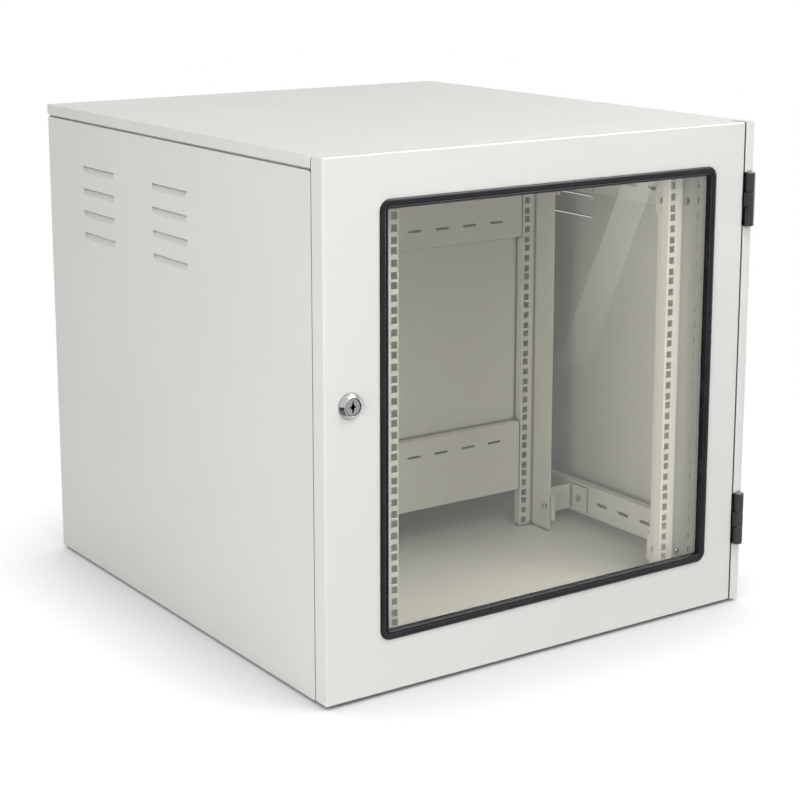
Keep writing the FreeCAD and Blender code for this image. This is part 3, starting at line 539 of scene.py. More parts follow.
@dataclass(frozen=True)
class Rubber(Finish):
    """Black rubber with a faint bloom."""

    ripple: float = 240.0
    grain: float = 2600.0
    patch: float = 22.0
    patch_span: Pair = (0.4, 0.7)
    bloom: Colour = (0.016, 0.017, 0.020)
    bloom_share: float = 0.6
    smoother: float = 0.02
    rougher: float = 0.03
    dust: float = 0.15
    dust_scale: float = 40.0
    bump: float = 0.08
    bump_height: float = 0.05 * MM
    edge_radius: float = 0.4 * MM

    def dress(self, graph: Graph, shader: bpy.types.Node) -> Socket:
        """Add the finish's own nodes.

        Args:
            graph: The material's tree.
            shader: Its Principled shader.

        Returns:
            The socket that goes to the material's surface.
        """
        texture = CoatTexture.place(graph, Ripple=self.ripple, Grain=self.grain, Patch=self.patch)
        edges = SoftEdges.place(graph, Radius=self.edge_radius)
        dust = SettledDust.place(graph, Amount=self.dust, Scale=self.dust_scale)
        patches = graph.span(texture.outputs["Patches"], *self.patch_span, to_high=self.bloom_share)
        bloomed = graph.blend(patches, self.colour, self.bloom)
        graph.feed(shader.inputs["Base Color"], graph.blend(dust.outputs["Mask"], bloomed, self.bloom))
        limits = (self.roughness - self.smoother, self.roughness + self.rougher)
        graph.feed(shader.inputs["Roughness"], graph.span(texture.outputs["Patches"], *ROUGH_SPAN, *limits))
        normal = graph.bump(self.bump, self.bump_height, texture.outputs["Height"], edges.outputs["Normal"])
        graph.feed(shader.inputs["Normal"], normal)
        return shader.outputs[0]


@dataclass(frozen=True)
class Metal(Finish):
    """Plated or turned metal."""

    ripple: float = 900.0
    grain: float = 5200.0
    patch: float = 90.0
    patch_span: Pair = (0.35, 0.7)
    tarnish: Colour = (0.45, 0.45, 0.45)
    tarnish_share: float = 0.5
    smooth_factor: float = 0.8
    rough_factor: float = 1.3
    bump: float = 0.12
    bump_height: float = 0.03 * MM
    edge_radius: float = 0.4 * MM
    rings: float = 0.0
    ring_centre: Pair = (0.0, 0.0)
    # Past this radius the turned face is darkened, a painted shade in the gap round the plug.
    groove: float = 10.45 * MM
    groove_edge: float = 0.1 * MM
    painted_groove_shade: Colour = (0.02, 0.02, 0.02)

    def dress(self, graph: Graph, shader: bpy.types.Node) -> Socket:
        """Add the finish's own nodes.

        Args:
            graph: The material's tree.
            shader: Its Principled shader.

        Returns:
            The socket that goes to the material's surface.
        """
        texture = CoatTexture.place(graph, Ripple=self.ripple, Grain=self.grain, Patch=self.patch)
        edges = SoftEdges.place(graph, Radius=self.edge_radius)
        shader.inputs["Metallic"].default_value = 1.0
        patches = graph.span(texture.outputs["Patches"], *self.patch_span, to_high=self.tarnish_share)
        colour = graph.blend(patches, self.colour, self.tarnish)
        limits = (self.roughness * self.smooth_factor, self.roughness * self.rough_factor)
        graph.feed(shader.inputs["Roughness"], graph.span(texture.outputs["Patches"], *ROUGH_SPAN, *limits))
        height = texture.outputs["Height"]
        if self.rings:
            x, z = self.ring_centre
            turned = TurnedRings.place(graph, Rings=self.rings, **{"Centre X": x, "Centre Z": z})
            height = turned.outputs["Height"]
            # Painted shade: the face goes dark past the groove radius, in the gap to the bezel.
            past = graph.span(turned.outputs["Radius"], self.groove, self.groove + self.groove_edge)
            colour = graph.blend(past, colour, self.painted_groove_shade)
        graph.feed(shader.inputs["Base Color"], colour)
        normal = graph.bump(self.bump, self.bump_height, height, edges.outputs["Normal"])
        graph.feed(shader.inputs["Normal"], normal)
        return shader.outputs[0]


@dataclass(frozen=True)
class WindowGlass(Finish):
    """Clear flat glass that lets light through to the inside."""

    ior: float = 1.5
    shade: Colour = (0.965, 0.96, 0.91)
    smear_scale: float = 9.0
    smear_detail: float = 4.0
    smear_span: Pair = (0.45, 0.8)
    smear_rough: float = 0.02

    def dress(self, graph: Graph, shader: bpy.types.Node) -> Socket:
        """Add the finish's own nodes.

        Args:
            graph: The material's tree.
            shader: Its Principled shader.

        Returns:
            The socket that goes to the material's surface.
        """
        shader.inputs["Transmission Weight"].default_value = 1.0
        shader.inputs["IOR"].default_value = self.ior
        place = graph.add("TexCoord").outputs["Object"]
        limits = (self.roughness, self.roughness + self.smear_rough)
        smears = graph.noise(place, self.smear_scale, self.smear_detail)
        graph.feed(shader.inputs["Roughness"], graph.span(smears, *self.smear_span, *limits))
        clear = graph.add("BsdfTransparent", {"Color": self.shade})
        path = graph.add("LightPath")
        passing = graph.math("MAXIMUM", path.outputs["Is Shadow Ray"], path.outputs["Is Diffuse Ray"])
        mixed = graph.add("MixShader", {"Fac": passing})
        graph.feed(mixed.inputs[1], shader.outputs[0])
        graph.feed(mixed.inputs[2], clear.outputs[0])
        return mixed.outputs[0]


def finishes() -> dict[Slot, Finish]:
    """Return the finish of each material slot.

    Returns:
        The finishes by slot.
    """
    grey: Colour = (0.74, 0.735, 0.705)
    low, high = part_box("lock_plug")
    centre = ((low.x + high.x) / 2, (low.z + high.z) / 2)
    return {
        Slot.GREY: PowderCoat("powder_coat_grey", grey, roughness=0.42),
        Slot.INNER: PowderCoat("powder_coat_inner", grey, roughness=0.46, dust=0.06),
        Slot.ZINC: Metal("zinc_plate", (0.58, 0.59, 0.60), roughness=0.30),
        Slot.RUBBER: Rubber("glazing_rubber", (0.006, 0.007, 0.009), roughness=0.26, gloss=0.24),
        Slot.FOAM: Rubber(
            "seal_foam", (0.05, 0.05, 0.052), roughness=0.85, gloss=0.2, grain=900.0,
            bloom=(0.07, 0.07, 0.072),
        ),
        Slot.GLASS: WindowGlass("window_glass", (0.985, 0.982, 0.95), roughness=0.0),
        Slot.CHROME: Metal(
            "bezel_chrome", (0.51, 0.505, 0.495), roughness=0.13, tarnish=(0.43, 0.425, 0.415)
        ),
        Slot.SATIN: Metal(
            "plug_satin", (0.36, 0.36, 0.365), roughness=0.30, tarnish=(0.26, 0.26, 0.26),
            rings=9000.0, ring_centre=centre,
        ),
        # The hinge's edges carry a strong painted highlight.
        Slot.HINGE: PowderCoat(
            "hinge_coat", (0.022, 0.0225, 0.0235), roughness=0.28, gloss=0.44, painted_edge_highlight=2.2,
            dust=0.05, dust_colour=(0.05, 0.05, 0.05),
        ),
    }


@dataclass
class Piece:
    """A new piece, shaped with bmesh in its place and carried by a body."""

    name: str
    body: Body
    slot: Slot
    stands_for: tuple[str, ...] = ()
    sharp_degrees: float = 34.0
    shape: bmesh.types.BMesh = field(default_factory=bmesh.new)

    def add(self, part: bmesh.types.BMesh, place: Matrix) -> None:
        """Put a part's mesh into the piece and free the part.

        Args:
            part: The part, in its own axes.
            place: Where it goes.
        """
        bmesh.ops.transform(part, matrix=place, verts=part.verts)
        mesh = bpy.data.meshes.new("part")
        part.to_mesh(mesh)
        part.free()
        self.shape.from_mesh(mesh)
        bpy.data.meshes.remove(mesh)

    def finish(self, coat: Finish) -> None:
        """Clean the mesh, make the object and give it its body and material.

        Args:
            coat: The piece's finish.
        """
        bmesh.ops.remove_doubles(self.shape, verts=self.shape.verts, dist=MERGE)
        bmesh.ops.recalc_face_normals(self.shape, faces=self.shape.faces)
        mesh = bpy.data.meshes.new(self.name)
        self.shape.to_mesh(mesh)
        self.shape.free()
        mesh.shade_smooth()
        mesh.set_sharp_from_angle(angle=math.radians(self.sharp_degrees))
        mesh.materials.append(coat.material())
        piece = bpy.data.objects.new(self.name, mesh)
        bpy.context.scene.collection.objects.link(piece)
        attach(piece, self.body.value)
        if self.stands_for:
            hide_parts(*self.stands_for)
        LOG.info("made %s with %d faces", self.name, len(mesh.polygons))


def turned(profile: Sequence[Pair], rounding: float = 0.0, steps: int = 48) -> bmesh.types.BMesh:
    """Spin a profile about Z.

    Args:
        profile: Radius and height of each corner, from one end to the other.
        rounding: Size of the rounding on the corners between the ends.
        steps: Steps in a full turn.

    Returns:
        The turned shape.
    """
    shape = bmesh.new()
    corners = [shape.verts.new((radius, 0.0, height)) for radius, height in profile]
    for pair in zip(corners, corners[1:]):
        shape.edges.new(pair)
    if rounding:
        bmesh.ops.bevel(
            shape, geom=corners[1:-1], offset=rounding, segments=CORNER_STEPS, profile=0.5,
            affect="VERTICES", clamp_overlap=True, material=-1,
        )
    bmesh.ops.spin(
        shape, geom=shape.verts[:] + shape.edges[:], cent=(0, 0, 0), axis=(0, 0, 1), dvec=(0, 0, 0),
        angle=2 * math.pi, steps=steps, use_merge=True,
    )
    bmesh.ops.remove_doubles(shape, verts=shape.verts, dist=MERGE)
    return shape


def sink(shape: bmesh.types.BMesh, outline: Sequence[Pair], top: float, depth: float, taper: float) -> None:
    """Close a turned head's open top with a face that has a recess in it.

    Args:
        shape: The turned head, open at its top.
        outline: Corners of the recess, across the axis.
        top: Height of the open top.
        depth: How deep the recess goes.
        taper: Size of the recess's floor against its mouth.
    """
    ring = [e for e in shape.edges if e.is_boundary and min(v.co.z for v in e.verts) > top - MERGE]
    corners = [shape.verts.new((x, y, top)) for x, y in outline]
    lips = [shape.edges.new(pair) for pair in zip(corners, corners[1:] + corners[:1])]
    bmesh.ops.bridge_loops(shape, edges=ring + lips)
    walls = bmesh.ops.extrude_edge_only(shape, edges=lips)["geom"]
    low = [item for item in walls if isinstance(item, bmesh.types.BMVert)]
    shrink = Matrix.Diagonal((taper, taper, 1.0, 1.0))
    bmesh.ops.transform(shape, matrix=Matrix.Translation((0, 0, -depth)) @ shrink, verts=low)
    rim = [item for item in walls if isinstance(item, bmesh.types.BMEdge)]
    bmesh.ops.contextual_create(shape, geom=rim)


class Head(Enum):
    """Kinds of fastener."""

    PAN = "pan head with a cross recess"
    BOLT = "hexagon bolt"
    NUT = "hexagon nut"


@dataclass(frozen=True)
class Spot:
    """One fastener's place as its node has it: middle, head direction, length and width."""

    middle: Vector
    out: Vector
    length: float
    width: float

    def matrix(self, along: float) -> Matrix:
        """Return the place of local height 0 at a distance from the middle towards the head.

        Args:
            along: Distance from the fastener's middle.

        Returns:
            The place matrix, its Z axis towards the head.
        """
        turn = Vector((0, 0, 1)).rotation_difference(self.out).to_matrix().to_4x4()
        return Matrix.Translation(self.middle + self.out * along) @ turn


def spots(node: str) -> list[Spot]:
    """Read each fastener's place from a node.

    Args:
        node: The node that holds the fasteners.

    Returns:
        One spot for each separate solid.
    """
    shape = bmesh.new()
    shape.from_mesh(frame["nodes"][node].data)
    bmesh.ops.remove_doubles(shape, verts=shape.verts, dist=MERGE)
    left = set(shape.verts)
    found = []
    while left:
        reach = [left.pop()]
        for vert in reach:
            beside = {edge.other_vert(vert) for edge in vert.link_edges} & left
            left -= beside
            reach.extend(beside)
        found.append(spot_of([vert.co.copy() for vert in reach]))
    shape.free()
    return sorted(found, key=lambda spot: tuple(spot.middle))


def spot_of(points: Sequence[Vector]) -> Spot:
    """Work out a fastener's place from the corners of its solid.

    Args:
        points: Corners of one solid.

    Returns:
        Its spot, pointing from its thin end to its wide end.
    """
    low = Vector([min(p[i] for p in points) for i in range(3)])
    high = Vector([max(p[i] for p in points) for i in range(3)])
    middle = (low + high) / 2
    span = high - low
    axis = min(range(3), key=lambda i: abs(span[i - 1] - span[i - 2]))
    out = Vector([float(i == axis) for i in range(3)])

    def breadth(side: int) -> float:
        """Return the largest distance from the axis at one end."""
        near = [p - middle for p in points if (p - middle).dot(out) * side > span[axis] * END_SHARE]
        return max((p - out * p.dot(out)).length for p in near)

    if breadth(-1) > breadth(1):
        out = -out
    return Spot(middle, out, span[axis], min(span[axis - 1], span[axis - 2]))


@dataclass(frozen=True)
class FastenerSet:
    """All fasteners of one node, drawn finer than the node's solids."""

    node: str
    head: Head
    body: Body = Body.CABINET
    pan_high: float = 2.6 * MM
    bolt_high: float = 3.6 * MM
    shank_radius: float = 2.45 * MM
    shank_steps: int = 20
    head_steps: int = 24
    chamfer: float = 0.45 * MM
    chamfer_steps: int = 2
    bore_radius: float = 2.7 * MM
    bore_clear: float = 1.2
    # Radius and height of the pan head's corners, as shares of its own.
    pan_curve: tuple[Pair, ...] = (
        (0.96, 0.0), (1.0, 0.12), (1.0, 0.42), (0.93, 0.70), (0.78, 0.90), (0.60, 1.0),
    )
    cross_arm: float = 0.52
    cross_half: float = 0.13
    cross_deep: float = 0.7
    cross_taper: float = 0.62

    def build(self, coat: Finish) -> None:
        """Make the piece.

        Args:
            coat: The fasteners' finish.
        """
        piece = Piece(self.node + "_fine", self.body, Slot.ZINC, (self.node,))
        for spot in spots(self.node):
            if self.head is Head.PAN:
                piece.add(self.pan(spot.width / 2), spot.matrix(spot.length / 2 - self.pan_high))
                self.shank(piece, spot, spot.length - self.pan_high)
            elif self.head is Head.BOLT:
                piece.add(self.hexagon(spot.width), spot.matrix(spot.length / 2 - self.bolt_high))
                self.shank(piece, spot, spot.length - self.bolt_high)
            else:
                piece.add(self.nut(spot.width, spot.length), spot.matrix(-spot.length / 2))
        piece.finish(coat)

    def shank(self, piece: Piece, spot: Spot, length: float) -> None:
        """Add a plain shank with a chamfered end.

        Args:
            piece: The piece it belongs to.
            spot: The fastener.
            length: The shank's length.
        """
        r = self.shank_radius
        profile = [(0.0, 0.0), (r - self.chamfer, 0.0), (r, self.chamfer), (r, length)]
        piece.add(turned(profile, steps=self.shank_steps), spot.matrix(-spot.length / 2))

    def pan(self, radius: float) -> bmesh.types.BMesh:
        """Return a pan head with a cross recess, its seat at height 0.

        Args:
            radius: The head's radius.

        Returns:
            The head.
        """
        top = self.pan_high
        curve = [(radius * across, top * up) for across, up in self.pan_curve]
        shape = turned([(self.shank_radius, 0.0)] + curve, steps=self.head_steps)
        arm = radius * self.cross_arm
        half = radius * self.cross_half
        quarter = [(arm, -half), (arm, half), (half, half)]
        outline = []
        for turn in range(4):
            c, s = round(math.cos(turn * math.pi / 2)), round(math.sin(turn * math.pi / 2))
            outline += [(c * x - s * y, s * x + c * y) for x, y in quarter]
        sink(shape, outline, top, top * self.cross_deep, self.cross_taper)
        return shape

    def hexagon(self, across: float) -> bmesh.types.BMesh:
        """Return a chamfered hexagon head, its seat at height 0.

        Args:
            across: Width over two flats.

        Returns:
            The head.
        """
        shape = bmesh.new()
        corner = across / math.sqrt(3)
        lift = Matrix.Translation((0, 0, self.bolt_high / 2))
        bmesh.ops.create_cone(
            shape, cap_ends=True, segments=HEX_SIDES, radius1=corner, radius2=corner, depth=self.bolt_high,
            matrix=lift,
        )
        self.break_edges(shape, self.bolt_high)
        return shape

    def nut(self, across: float, high: float) -> bmesh.types.BMesh:
        """Return a chamfered hexagon nut from height 0 upwards.

        Args:
            across: Width over two flats.
            high: The nut's height.

        Returns:
            The nut.
        """
        shape = bmesh.new()
        corner = across / math.sqrt(3)
        lift = Matrix.Translation((0, 0, high / 2))
        sizes = ((HEX_SIDES, corner), (self.head_steps, self.bore_radius))
        for segments, radius in sizes:
            bmesh.ops.create_cone(
                shape, cap_ends=False, segments=segments, radius1=radius, radius2=radius, depth=high,
                matrix=lift,
            )
        for level in (0.0, high):
            rims = [e for e in shape.edges if all(abs(v.co.z - level) < MERGE for v in e.verts)]
            bmesh.ops.bridge_loops(shape, edges=rims)
        self.break_edges(shape, high)
        return shape

    def break_edges(self, shape: bmesh.types.BMesh, level: float) -> None:
        """Chamfer a hexagon's outer edges at one height.

        Args:
            shape: The hexagon.
            level: The height of the edges.
        """
        past = self.bore_radius * self.bore_clear
        outer = [
            e for e in shape.edges
            if all(abs(v.co.z - level) < MERGE and v.co.xy.length > past for v in e.verts)
            and len({round(v.co.xy.length, RADIUS_DIGITS) for v in e.verts}) == 1
        ]
        bmesh.ops.bevel(
            shape, geom=outer, offset=self.chamfer, segments=self.chamfer_steps, profile=0.5, affect="EDGES",
            clamp_overlap=True, material=-1,
        )


@dataclass(frozen=True)
class RoundedRun:
    """A section drawn round an upright rectangle with rounded corners, about the origin in the XZ plane."""

    wide: float
    high: float
    corner: float
    steps: int = 10
    soft_steps: int = 5

    def build(
        self, section: Sequence[Pair], soft: Sequence[int] = (), rounding: float = 0.0
    ) -> bmesh.types.BMesh:
        """Draw the section round the rectangle.

        Args:
            section: Distance inwards from the rectangle and depth along Y of each corner, as a closed loop.
            soft: Which corners of the section are rounded.
            rounding: Size of that rounding.

        Returns:
            The closed run.
        """
        shape = bmesh.new()
        across = self.wide / 2 - self.corner
        up = self.high / 2 - self.corner
        ring = [shape.verts.new((-across, depth, inward - self.high / 2)) for inward, depth in section]
        for pair in zip(ring, ring[1:] + ring[:1]):
            shape.edges.new(pair)
        if soft:
            bmesh.ops.bevel(
                shape, geom=[ring[i] for i in soft], offset=rounding, segments=self.soft_steps, profile=0.5,
                affect="VERTICES", clamp_overlap=True, material=-1,
            )
        front = shape.edges[:]
        for x, z, way in ((1, -1, (1, 0, 0)), (1, 1, (0, 0, 1)), (-1, 1, (-1, 0, 0)), (-1, -1, (0, 0, -1))):
            length = 2 * abs(Vector(way).dot((across, 0, up)))
            if length > MERGE:
                pulled = bmesh.ops.extrude_edge_only(shape, edges=front)["geom"]
                moved = [item for item in pulled if isinstance(item, bmesh.types.BMVert)]
                bmesh.ops.translate(shape, verts=moved, vec=Vector(way) * length)
                front = [item for item in pulled if isinstance(item, bmesh.types.BMEdge)]
            bent = bmesh.ops.spin(
                shape, geom=front, cent=(x * across, 0, z * up), axis=(0, -1, 0), dvec=(0, 0, 0),
                angle=math.pi / 2, steps=self.steps,
            )["geom_last"]
            front = [item for item in bent if isinstance(item, bmesh.types.BMEdge)]
        bmesh.ops.remove_doubles(shape, verts=shape.verts, dist=MERGE)
        return shape


@dataclass
class DoorSeal:
    """Foam strip on the door's back, with a domed section."""

    width: float = 8.0 * MM
    corner: float = 9.0 * MM
    dome: float = 2.2 * MM

    def build(self, coat: Finish) -> None:
        """Make the strip.

        Args:
            coat: The foam's finish.
        """
        low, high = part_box("door_seal")
        middle = (low + high) / 2
        thick = high.y - low.y
        section = [(0.0, 0.0), (0.0, thick), (self.width, thick), (self.width, 0.0)]
        run = RoundedRun(high.x - low.x, high.z - low.z, self.corner)
        piece = Piece("door_seal_domed", Body.DOOR, Slot.FOAM, ("door_seal",))
        strip = run.build(section, soft=(1, 2), rounding=self.dome)
        piece.add(strip, Matrix.Translation((middle.x, low.y, middle.z)))
        piece.finish(coat)


def circle_through(first: Pair, second: Pair, third: Pair) -> tuple[Vector, float]:
    """Return the centre and the radius of the circle through three points.

    Args:
        first: The first point.
        second: The second point.
        third: The third point.

    Returns:
        The centre and the radius.
    """
    a, b, c = Vector(first), Vector(second), Vector(third)
    area = 2 * (a.x * (b.y - c.y) + b.x * (c.y - a.y) + c.x * (a.y - b.y))
    x = a.length_squared * (b.y - c.y) + b.length_squared * (c.y - a.y) + c.length_squared * (a.y - b.y)
    y = a.length_squared * (c.x - b.x) + b.length_squared * (a.x - c.x) + c.length_squared * (b.x - a.x)
    centre = Vector((x / area, y / area))
    return centre, (a - centre).length


def arc(centre: Vector, radius: float, start: float, end: float, steps: int) -> list[Pair]:
    """Return points along an arc.

    Args:
        centre: Its centre.
        radius: Its radius.
        start: Angle of the first point.
        end: Angle of the last point.
        steps: Number of steps between them.

    Returns:
        The points, both ends with them.
    """
    angles = [start + (end - start) * step / steps for step in range(steps + 1)]
    return [(centre.x + radius * math.cos(a), centre.y + radius * math.sin(a)) for a in angles]


@dataclass
class Glazing:
    """Rubber profile round the window: a rounded bead, a lip on the glass and a crease between them."""

    width: float = 13.0 * MM
    corner: float = 15.0 * MM
    corner_steps: int = 16
    bead_wide: float = 8.6 * MM
    bead_high: float = 3.3 * MM
    bead_end: float = 148.0
    bead_steps: int = 16
    bead_square: float = 0.75
    crease: Pair = (8.2 * MM, -1.2 * MM)
    lip_centre: Pair = (10.0 * MM, -1.2 * MM)
    lip_radius: float = 1.7 * MM
    lip_start: float = 200.0
    lip_end: float = 350.0
    lip_steps: int = 12
    sheet_grip: float = 5.5 * MM
    sheet: float = 1.5 * MM
    glass_grip: float = 7.5 * MM
    glass_set: float = 2.6 * MM
    glass_back: float = 6.6 * MM
    heel: float = 9.0 * MM
    heel_steps: int = 28
    strip_place: Pair = (4.3 * MM, 7.5 * MM)
    strip_groove: float = 1.7 * MM
    strip_steps: int = 14

    def build(self, coat: Finish) -> None:
        """Make the profile.

        Args:
            coat: The rubber's finish.
        """
        low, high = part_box("window_gasket")
        middle = (low + high) / 2
        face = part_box("door_shell")[0].y
        run = RoundedRun(high.x - low.x, high.z - low.z, self.corner, self.corner_steps)
        piece = Piece("glazing_bead", Body.DOOR, Slot.RUBBER, ("window_gasket",))
        section = self.front() + self.rear()
        piece.add(run.build(section), Matrix.Translation((middle.x, face, middle.z)))
        piece.finish(coat)

    def front(self) -> list[Pair]:
        """Return the section from the bead's foot on the door to the lip's foot on the glass.

        Returns:
            Distance inwards and depth of each corner.
        """
        half = self.bead_wide / 2
        points = []
        for step in range(self.bead_steps + 1):
            turn = math.radians(self.bead_end) * step / self.bead_steps
            swell = math.sin(turn) ** self.bead_square
            points.append((half - half * math.cos(turn), -self.bead_high * swell))
        turns = (math.radians(self.lip_start), math.radians(self.lip_end))
        lip = arc(Vector(self.lip_centre), self.lip_radius, *turns, self.lip_steps)
        return points + [self.crease] + lip + [(self.width, self.glass_set)]

    def rear(self) -> list[Pair]:
        """Return the section from the glass groove round the back to the groove for the sheet.

        Returns:
            Distance inwards and depth of each corner.
        """
        start = (self.width, self.glass_back)
        end = (0.0, self.sheet)
        centre, radius = circle_through(start, (self.width / 2, self.heel), end)
        angles = [math.atan2(y - centre.y, x - centre.x) % (2 * math.pi) for x, y in (start, end)]
        strip = Vector(self.strip_place)
        back = arc(centre, radius, *angles, self.heel_steps)
        clear = [(Vector(point) - strip).length > self.strip_groove for point in back]
        first = clear.index(False)
        last = first + clear[first:].index(True)
        rims = (back[first - 1], back[last])
        turns = [math.atan2(y - strip.y, x - strip.x) % (2 * math.pi) for x, y in rims]
        groove = arc(strip, self.strip_groove, turns[0], turns[1] - 2 * math.pi, self.strip_steps)
        grips = [(self.glass_grip, self.glass_set), (self.glass_grip, self.glass_back)]
        sheet = [(self.sheet_grip, self.sheet), (self.sheet_grip, 0.0)]
        return grips + back[:first] + groove + back[last:] + sheet


@dataclass
class CableEdging:
    """Rubber channel on the edge of the cable entry, with rounded lips."""

    cover: float = 5.1 * MM
    depth: float = 7.5 * MM
    rounding: float = 1.6 * MM
    corner_steps: int = 24

    def build(self, coat: Finish) -> None:
        """Make the channel.

        Args:
            coat: The rubber's finish.
        """
        low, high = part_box("cable_entry_edging")
        middle = (low + high) / 2
        sheet = [y - low.y for y in (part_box("rear_panel")[0].y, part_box("rear_panel")[1].y)]
        back = high.y - low.y
        section = [
            (0.0, 0.0), (self.depth, 0.0), (self.depth, back), (0.0, back), (0.0, sheet[1]),
            (self.cover, sheet[1]), (self.cover, sheet[0]), (0.0, sheet[0]),
        ]
        tall = high.z - low.z
        run = RoundedRun(high.x - low.x, tall, tall / 2, self.corner_steps)
        piece = Piece("cable_edging_round", Body.CABINET, Slot.RUBBER, ("cable_entry_edging",))
        channel = run.build(section, soft=(0, 1, 2, 3), rounding=self.rounding)
        piece.add(channel, Matrix.Translation((middle.x, low.y, middle.z)))
        piece.finish(coat)


@dataclass
class Feet:
    """Low rubber feet with rounded edges and a counterbore for their screws."""

    nodes: tuple[str, ...] = ("front_left_foot", "front_right_foot", "rear_left_foot", "rear_right_foot")
    top_radius: float = 14.5 * MM
    bore_radius: float = 5.2 * MM
    bore_deep: float = 3.0 * MM
    hole_radius: float = 2.7 * MM
    rounding: float = 0.9 * MM

    def build(self, coat: Finish) -> None:
        """Make the feet.

        Args:
            coat: The rubber's finish.
        """
        piece = Piece("feet_turned", Body.CABINET, Slot.RUBBER, self.nodes)
        for node in self.nodes:
            low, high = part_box(node)
            middle = (low + high) / 2
            tall = high.z - low.z
            profile = [
                (self.hole_radius, self.bore_deep), (self.bore_radius, self.bore_deep),
                (self.bore_radius, 0.0), ((high.x - low.x) / 2, 0.0), (self.top_radius, tall),
                (self.hole_radius, tall), (self.hole_radius, self.bore_deep),
            ]
            piece.add(turned(profile, self.rounding), Matrix.Translation((middle.x, middle.y, low.z)))
        piece.finish(coat)


@dataclass
class Lock:
    """Cam lock in the door: turned bezel and turned plug with a star keyway."""

    bezel_steps: int = 96
    bezel_radius: float = 17.0 * MM
    bezel_front_radius: float = 12.6 * MM
    bezel_rim: float = 1.2 * MM
    bore_radius: float = 11.48 * MM
    barrel_radius: float = 10.5 * MM
    barrel_bore: float = 7.58 * MM
    head_depth: float = 5.28 * MM
    rounding: float = 0.45 * MM
    face_radius: float = 10.5 * MM
    face_inner: float = 9.2 * MM
    face_step: float = 1.2 * MM
    head_radius: float = 11.4 * MM
    head_long: float = 4.5 * MM
    plug_steps: int = 64
    plug_radius: float = 7.5 * MM
    plug_long: float = 35.8 * MM
    shank: float = 9.0 * MM
    shank_long: float = 38.9 * MM
    stud_radius: float = 3.0 * MM
    key_high: float = 6.4 * MM
    key_wide: float = 4.1 * MM
    key_waist: float = 1.9 * MM
    key_tip: float = 0.85 * MM
    key_deep: float = 12.0 * MM
    key_taper: float = 1.0

    def build(self, coats: dict[Slot, Finish]) -> None:
        """Make the bezel and the plug.

        Args:
            coats: Finishes by slot.
        """
        bezel = Piece("lock_bezel", Body.DOOR, Slot.CHROME, ("lock_housing",))
        bezel.add(self.bezel(), self.facing("lock_housing"))
        bezel.finish(coats[Slot.CHROME])
        plug = Piece("lock_plug_turned", Body.LOCK, Slot.SATIN, ("lock_plug",))
        place = self.facing("lock_plug")
        plug.add(self.plug(), place)
        square = bmesh.new()
        high = self.shank_long - self.plug_long
        middle = Matrix.Translation((0, 0, -self.plug_long - high / 2))
        bmesh.ops.create_cube(square, matrix=middle @ Matrix.Diagonal((self.shank, self.shank, high, 1.0)))
        plug.add(square, place)
        plug.finish(coats[Slot.SATIN])

    def facing(self, node: str) -> Matrix:
        """Return the place of a node's front, with local Z out of the door.

        Args:
            node: A round node about the lock's axis.

        Returns:
            The place matrix.
        """
        low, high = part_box(node)
        turn = Matrix.Rotation(math.radians(90.0), 4, "X")
        return Matrix.Translation(((low.x + high.x) / 2, low.y, (low.z + high.z) / 2)) @ turn

    def bezel(self) -> bmesh.types.BMesh:
        """Return the housing with its cone-shaped bezel, its front at height 0.

        Returns:
            The housing.
        """
        low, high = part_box("lock_housing")
        door = low.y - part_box("door_shell")[0].y
        end = low.y - high.y
        profile = [
            (self.barrel_bore, end), (self.barrel_bore, -self.head_depth),
            (self.bore_radius, -self.head_depth), (self.bore_radius, 0.0), (self.bezel_front_radius, 0.0),
            (self.bezel_radius, door + self.bezel_rim), (self.bezel_radius, door),
            (self.barrel_radius, door), (self.barrel_radius, end), (self.barrel_bore, end),
        ]
        return turned(profile, self.rounding, self.bezel_steps)

    def plug(self) -> bmesh.types.BMesh:
        """Return the plug with its keyway, its face at height 0.

        Returns:
            The plug.
        """
        low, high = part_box("lock_plug")
        end = low.y - high.y
        profile = [
            (0.0, end), (self.stud_radius, end), (self.stud_radius, -self.plug_long),
            (self.plug_radius, -self.plug_long), (self.plug_radius, -self.head_long),
            (self.head_radius, -self.head_long), (self.head_radius, -self.face_step),
            (self.face_radius, -self.face_step), (self.face_radius, 0.0), (self.face_inner, 0.0),
        ]
        shape = turned(profile, self.rounding, self.plug_steps)
        waist = self.key_waist
        quarters = (((0, 1), (1, 1)), ((1, 0), (1, -1)), ((0, -1), (-1, -1)), ((-1, 0), (-1, 1)))
        outline = []
        for tip, notch in quarters:
            x, y = tip[0] * self.key_wide, tip[1] * self.key_high
            across, up = tip[1] * self.key_tip, -tip[0] * self.key_tip
            outline += [(x - across, y - up), (x + across, y + up), (notch[0] * waist, notch[1] * waist)]
        sink(shape, outline, 0.0, self.key_deep, self.key_taper)
        return shape


@dataclass
class CadPieces:
    """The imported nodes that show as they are."""

    coats: dict[Slot, Finish]

    def dress(self) -> None:
        """Give every node the material of its slot."""
        for entry in frame["record"]["subparts"]:
            node = frame["nodes"][entry["node"]]
            finish = self.coats[Slot(entry["material_slot"])]
            for holder in node.material_slots:
                holder.material = finish.material()
            LOG.info("dressed %s with %s", entry["node"], finish.name)


@dataclass(frozen=True)
class Lamp:
    """A soft rectangular lamp aimed at the cabinet's middle."""

    name: str
    place: Place
    power: float
    wide: float = 1.8
    high: float = 1.4
    aim: Place = (0.0, 0.0, 0.35)
    mirrored: bool = True

    def build(self) -> None:
        """Add the lamp."""
        data = bpy.data.lights.new(self.name, "AREA")
        data.shape = "RECTANGLE"
        data.size = self.wide
        data.size_y = self.high
        data.energy = self.power
        lamp = bpy.data.objects.new(self.name, data)
        lamp.location = self.place
        lamp.rotation_euler = (Vector(self.aim) - Vector(self.place)).to_track_quat("-Z", "Y").to_euler()
        lamp.visible_glossy = self.mirrored
        bpy.context.scene.collection.objects.link(lamp)


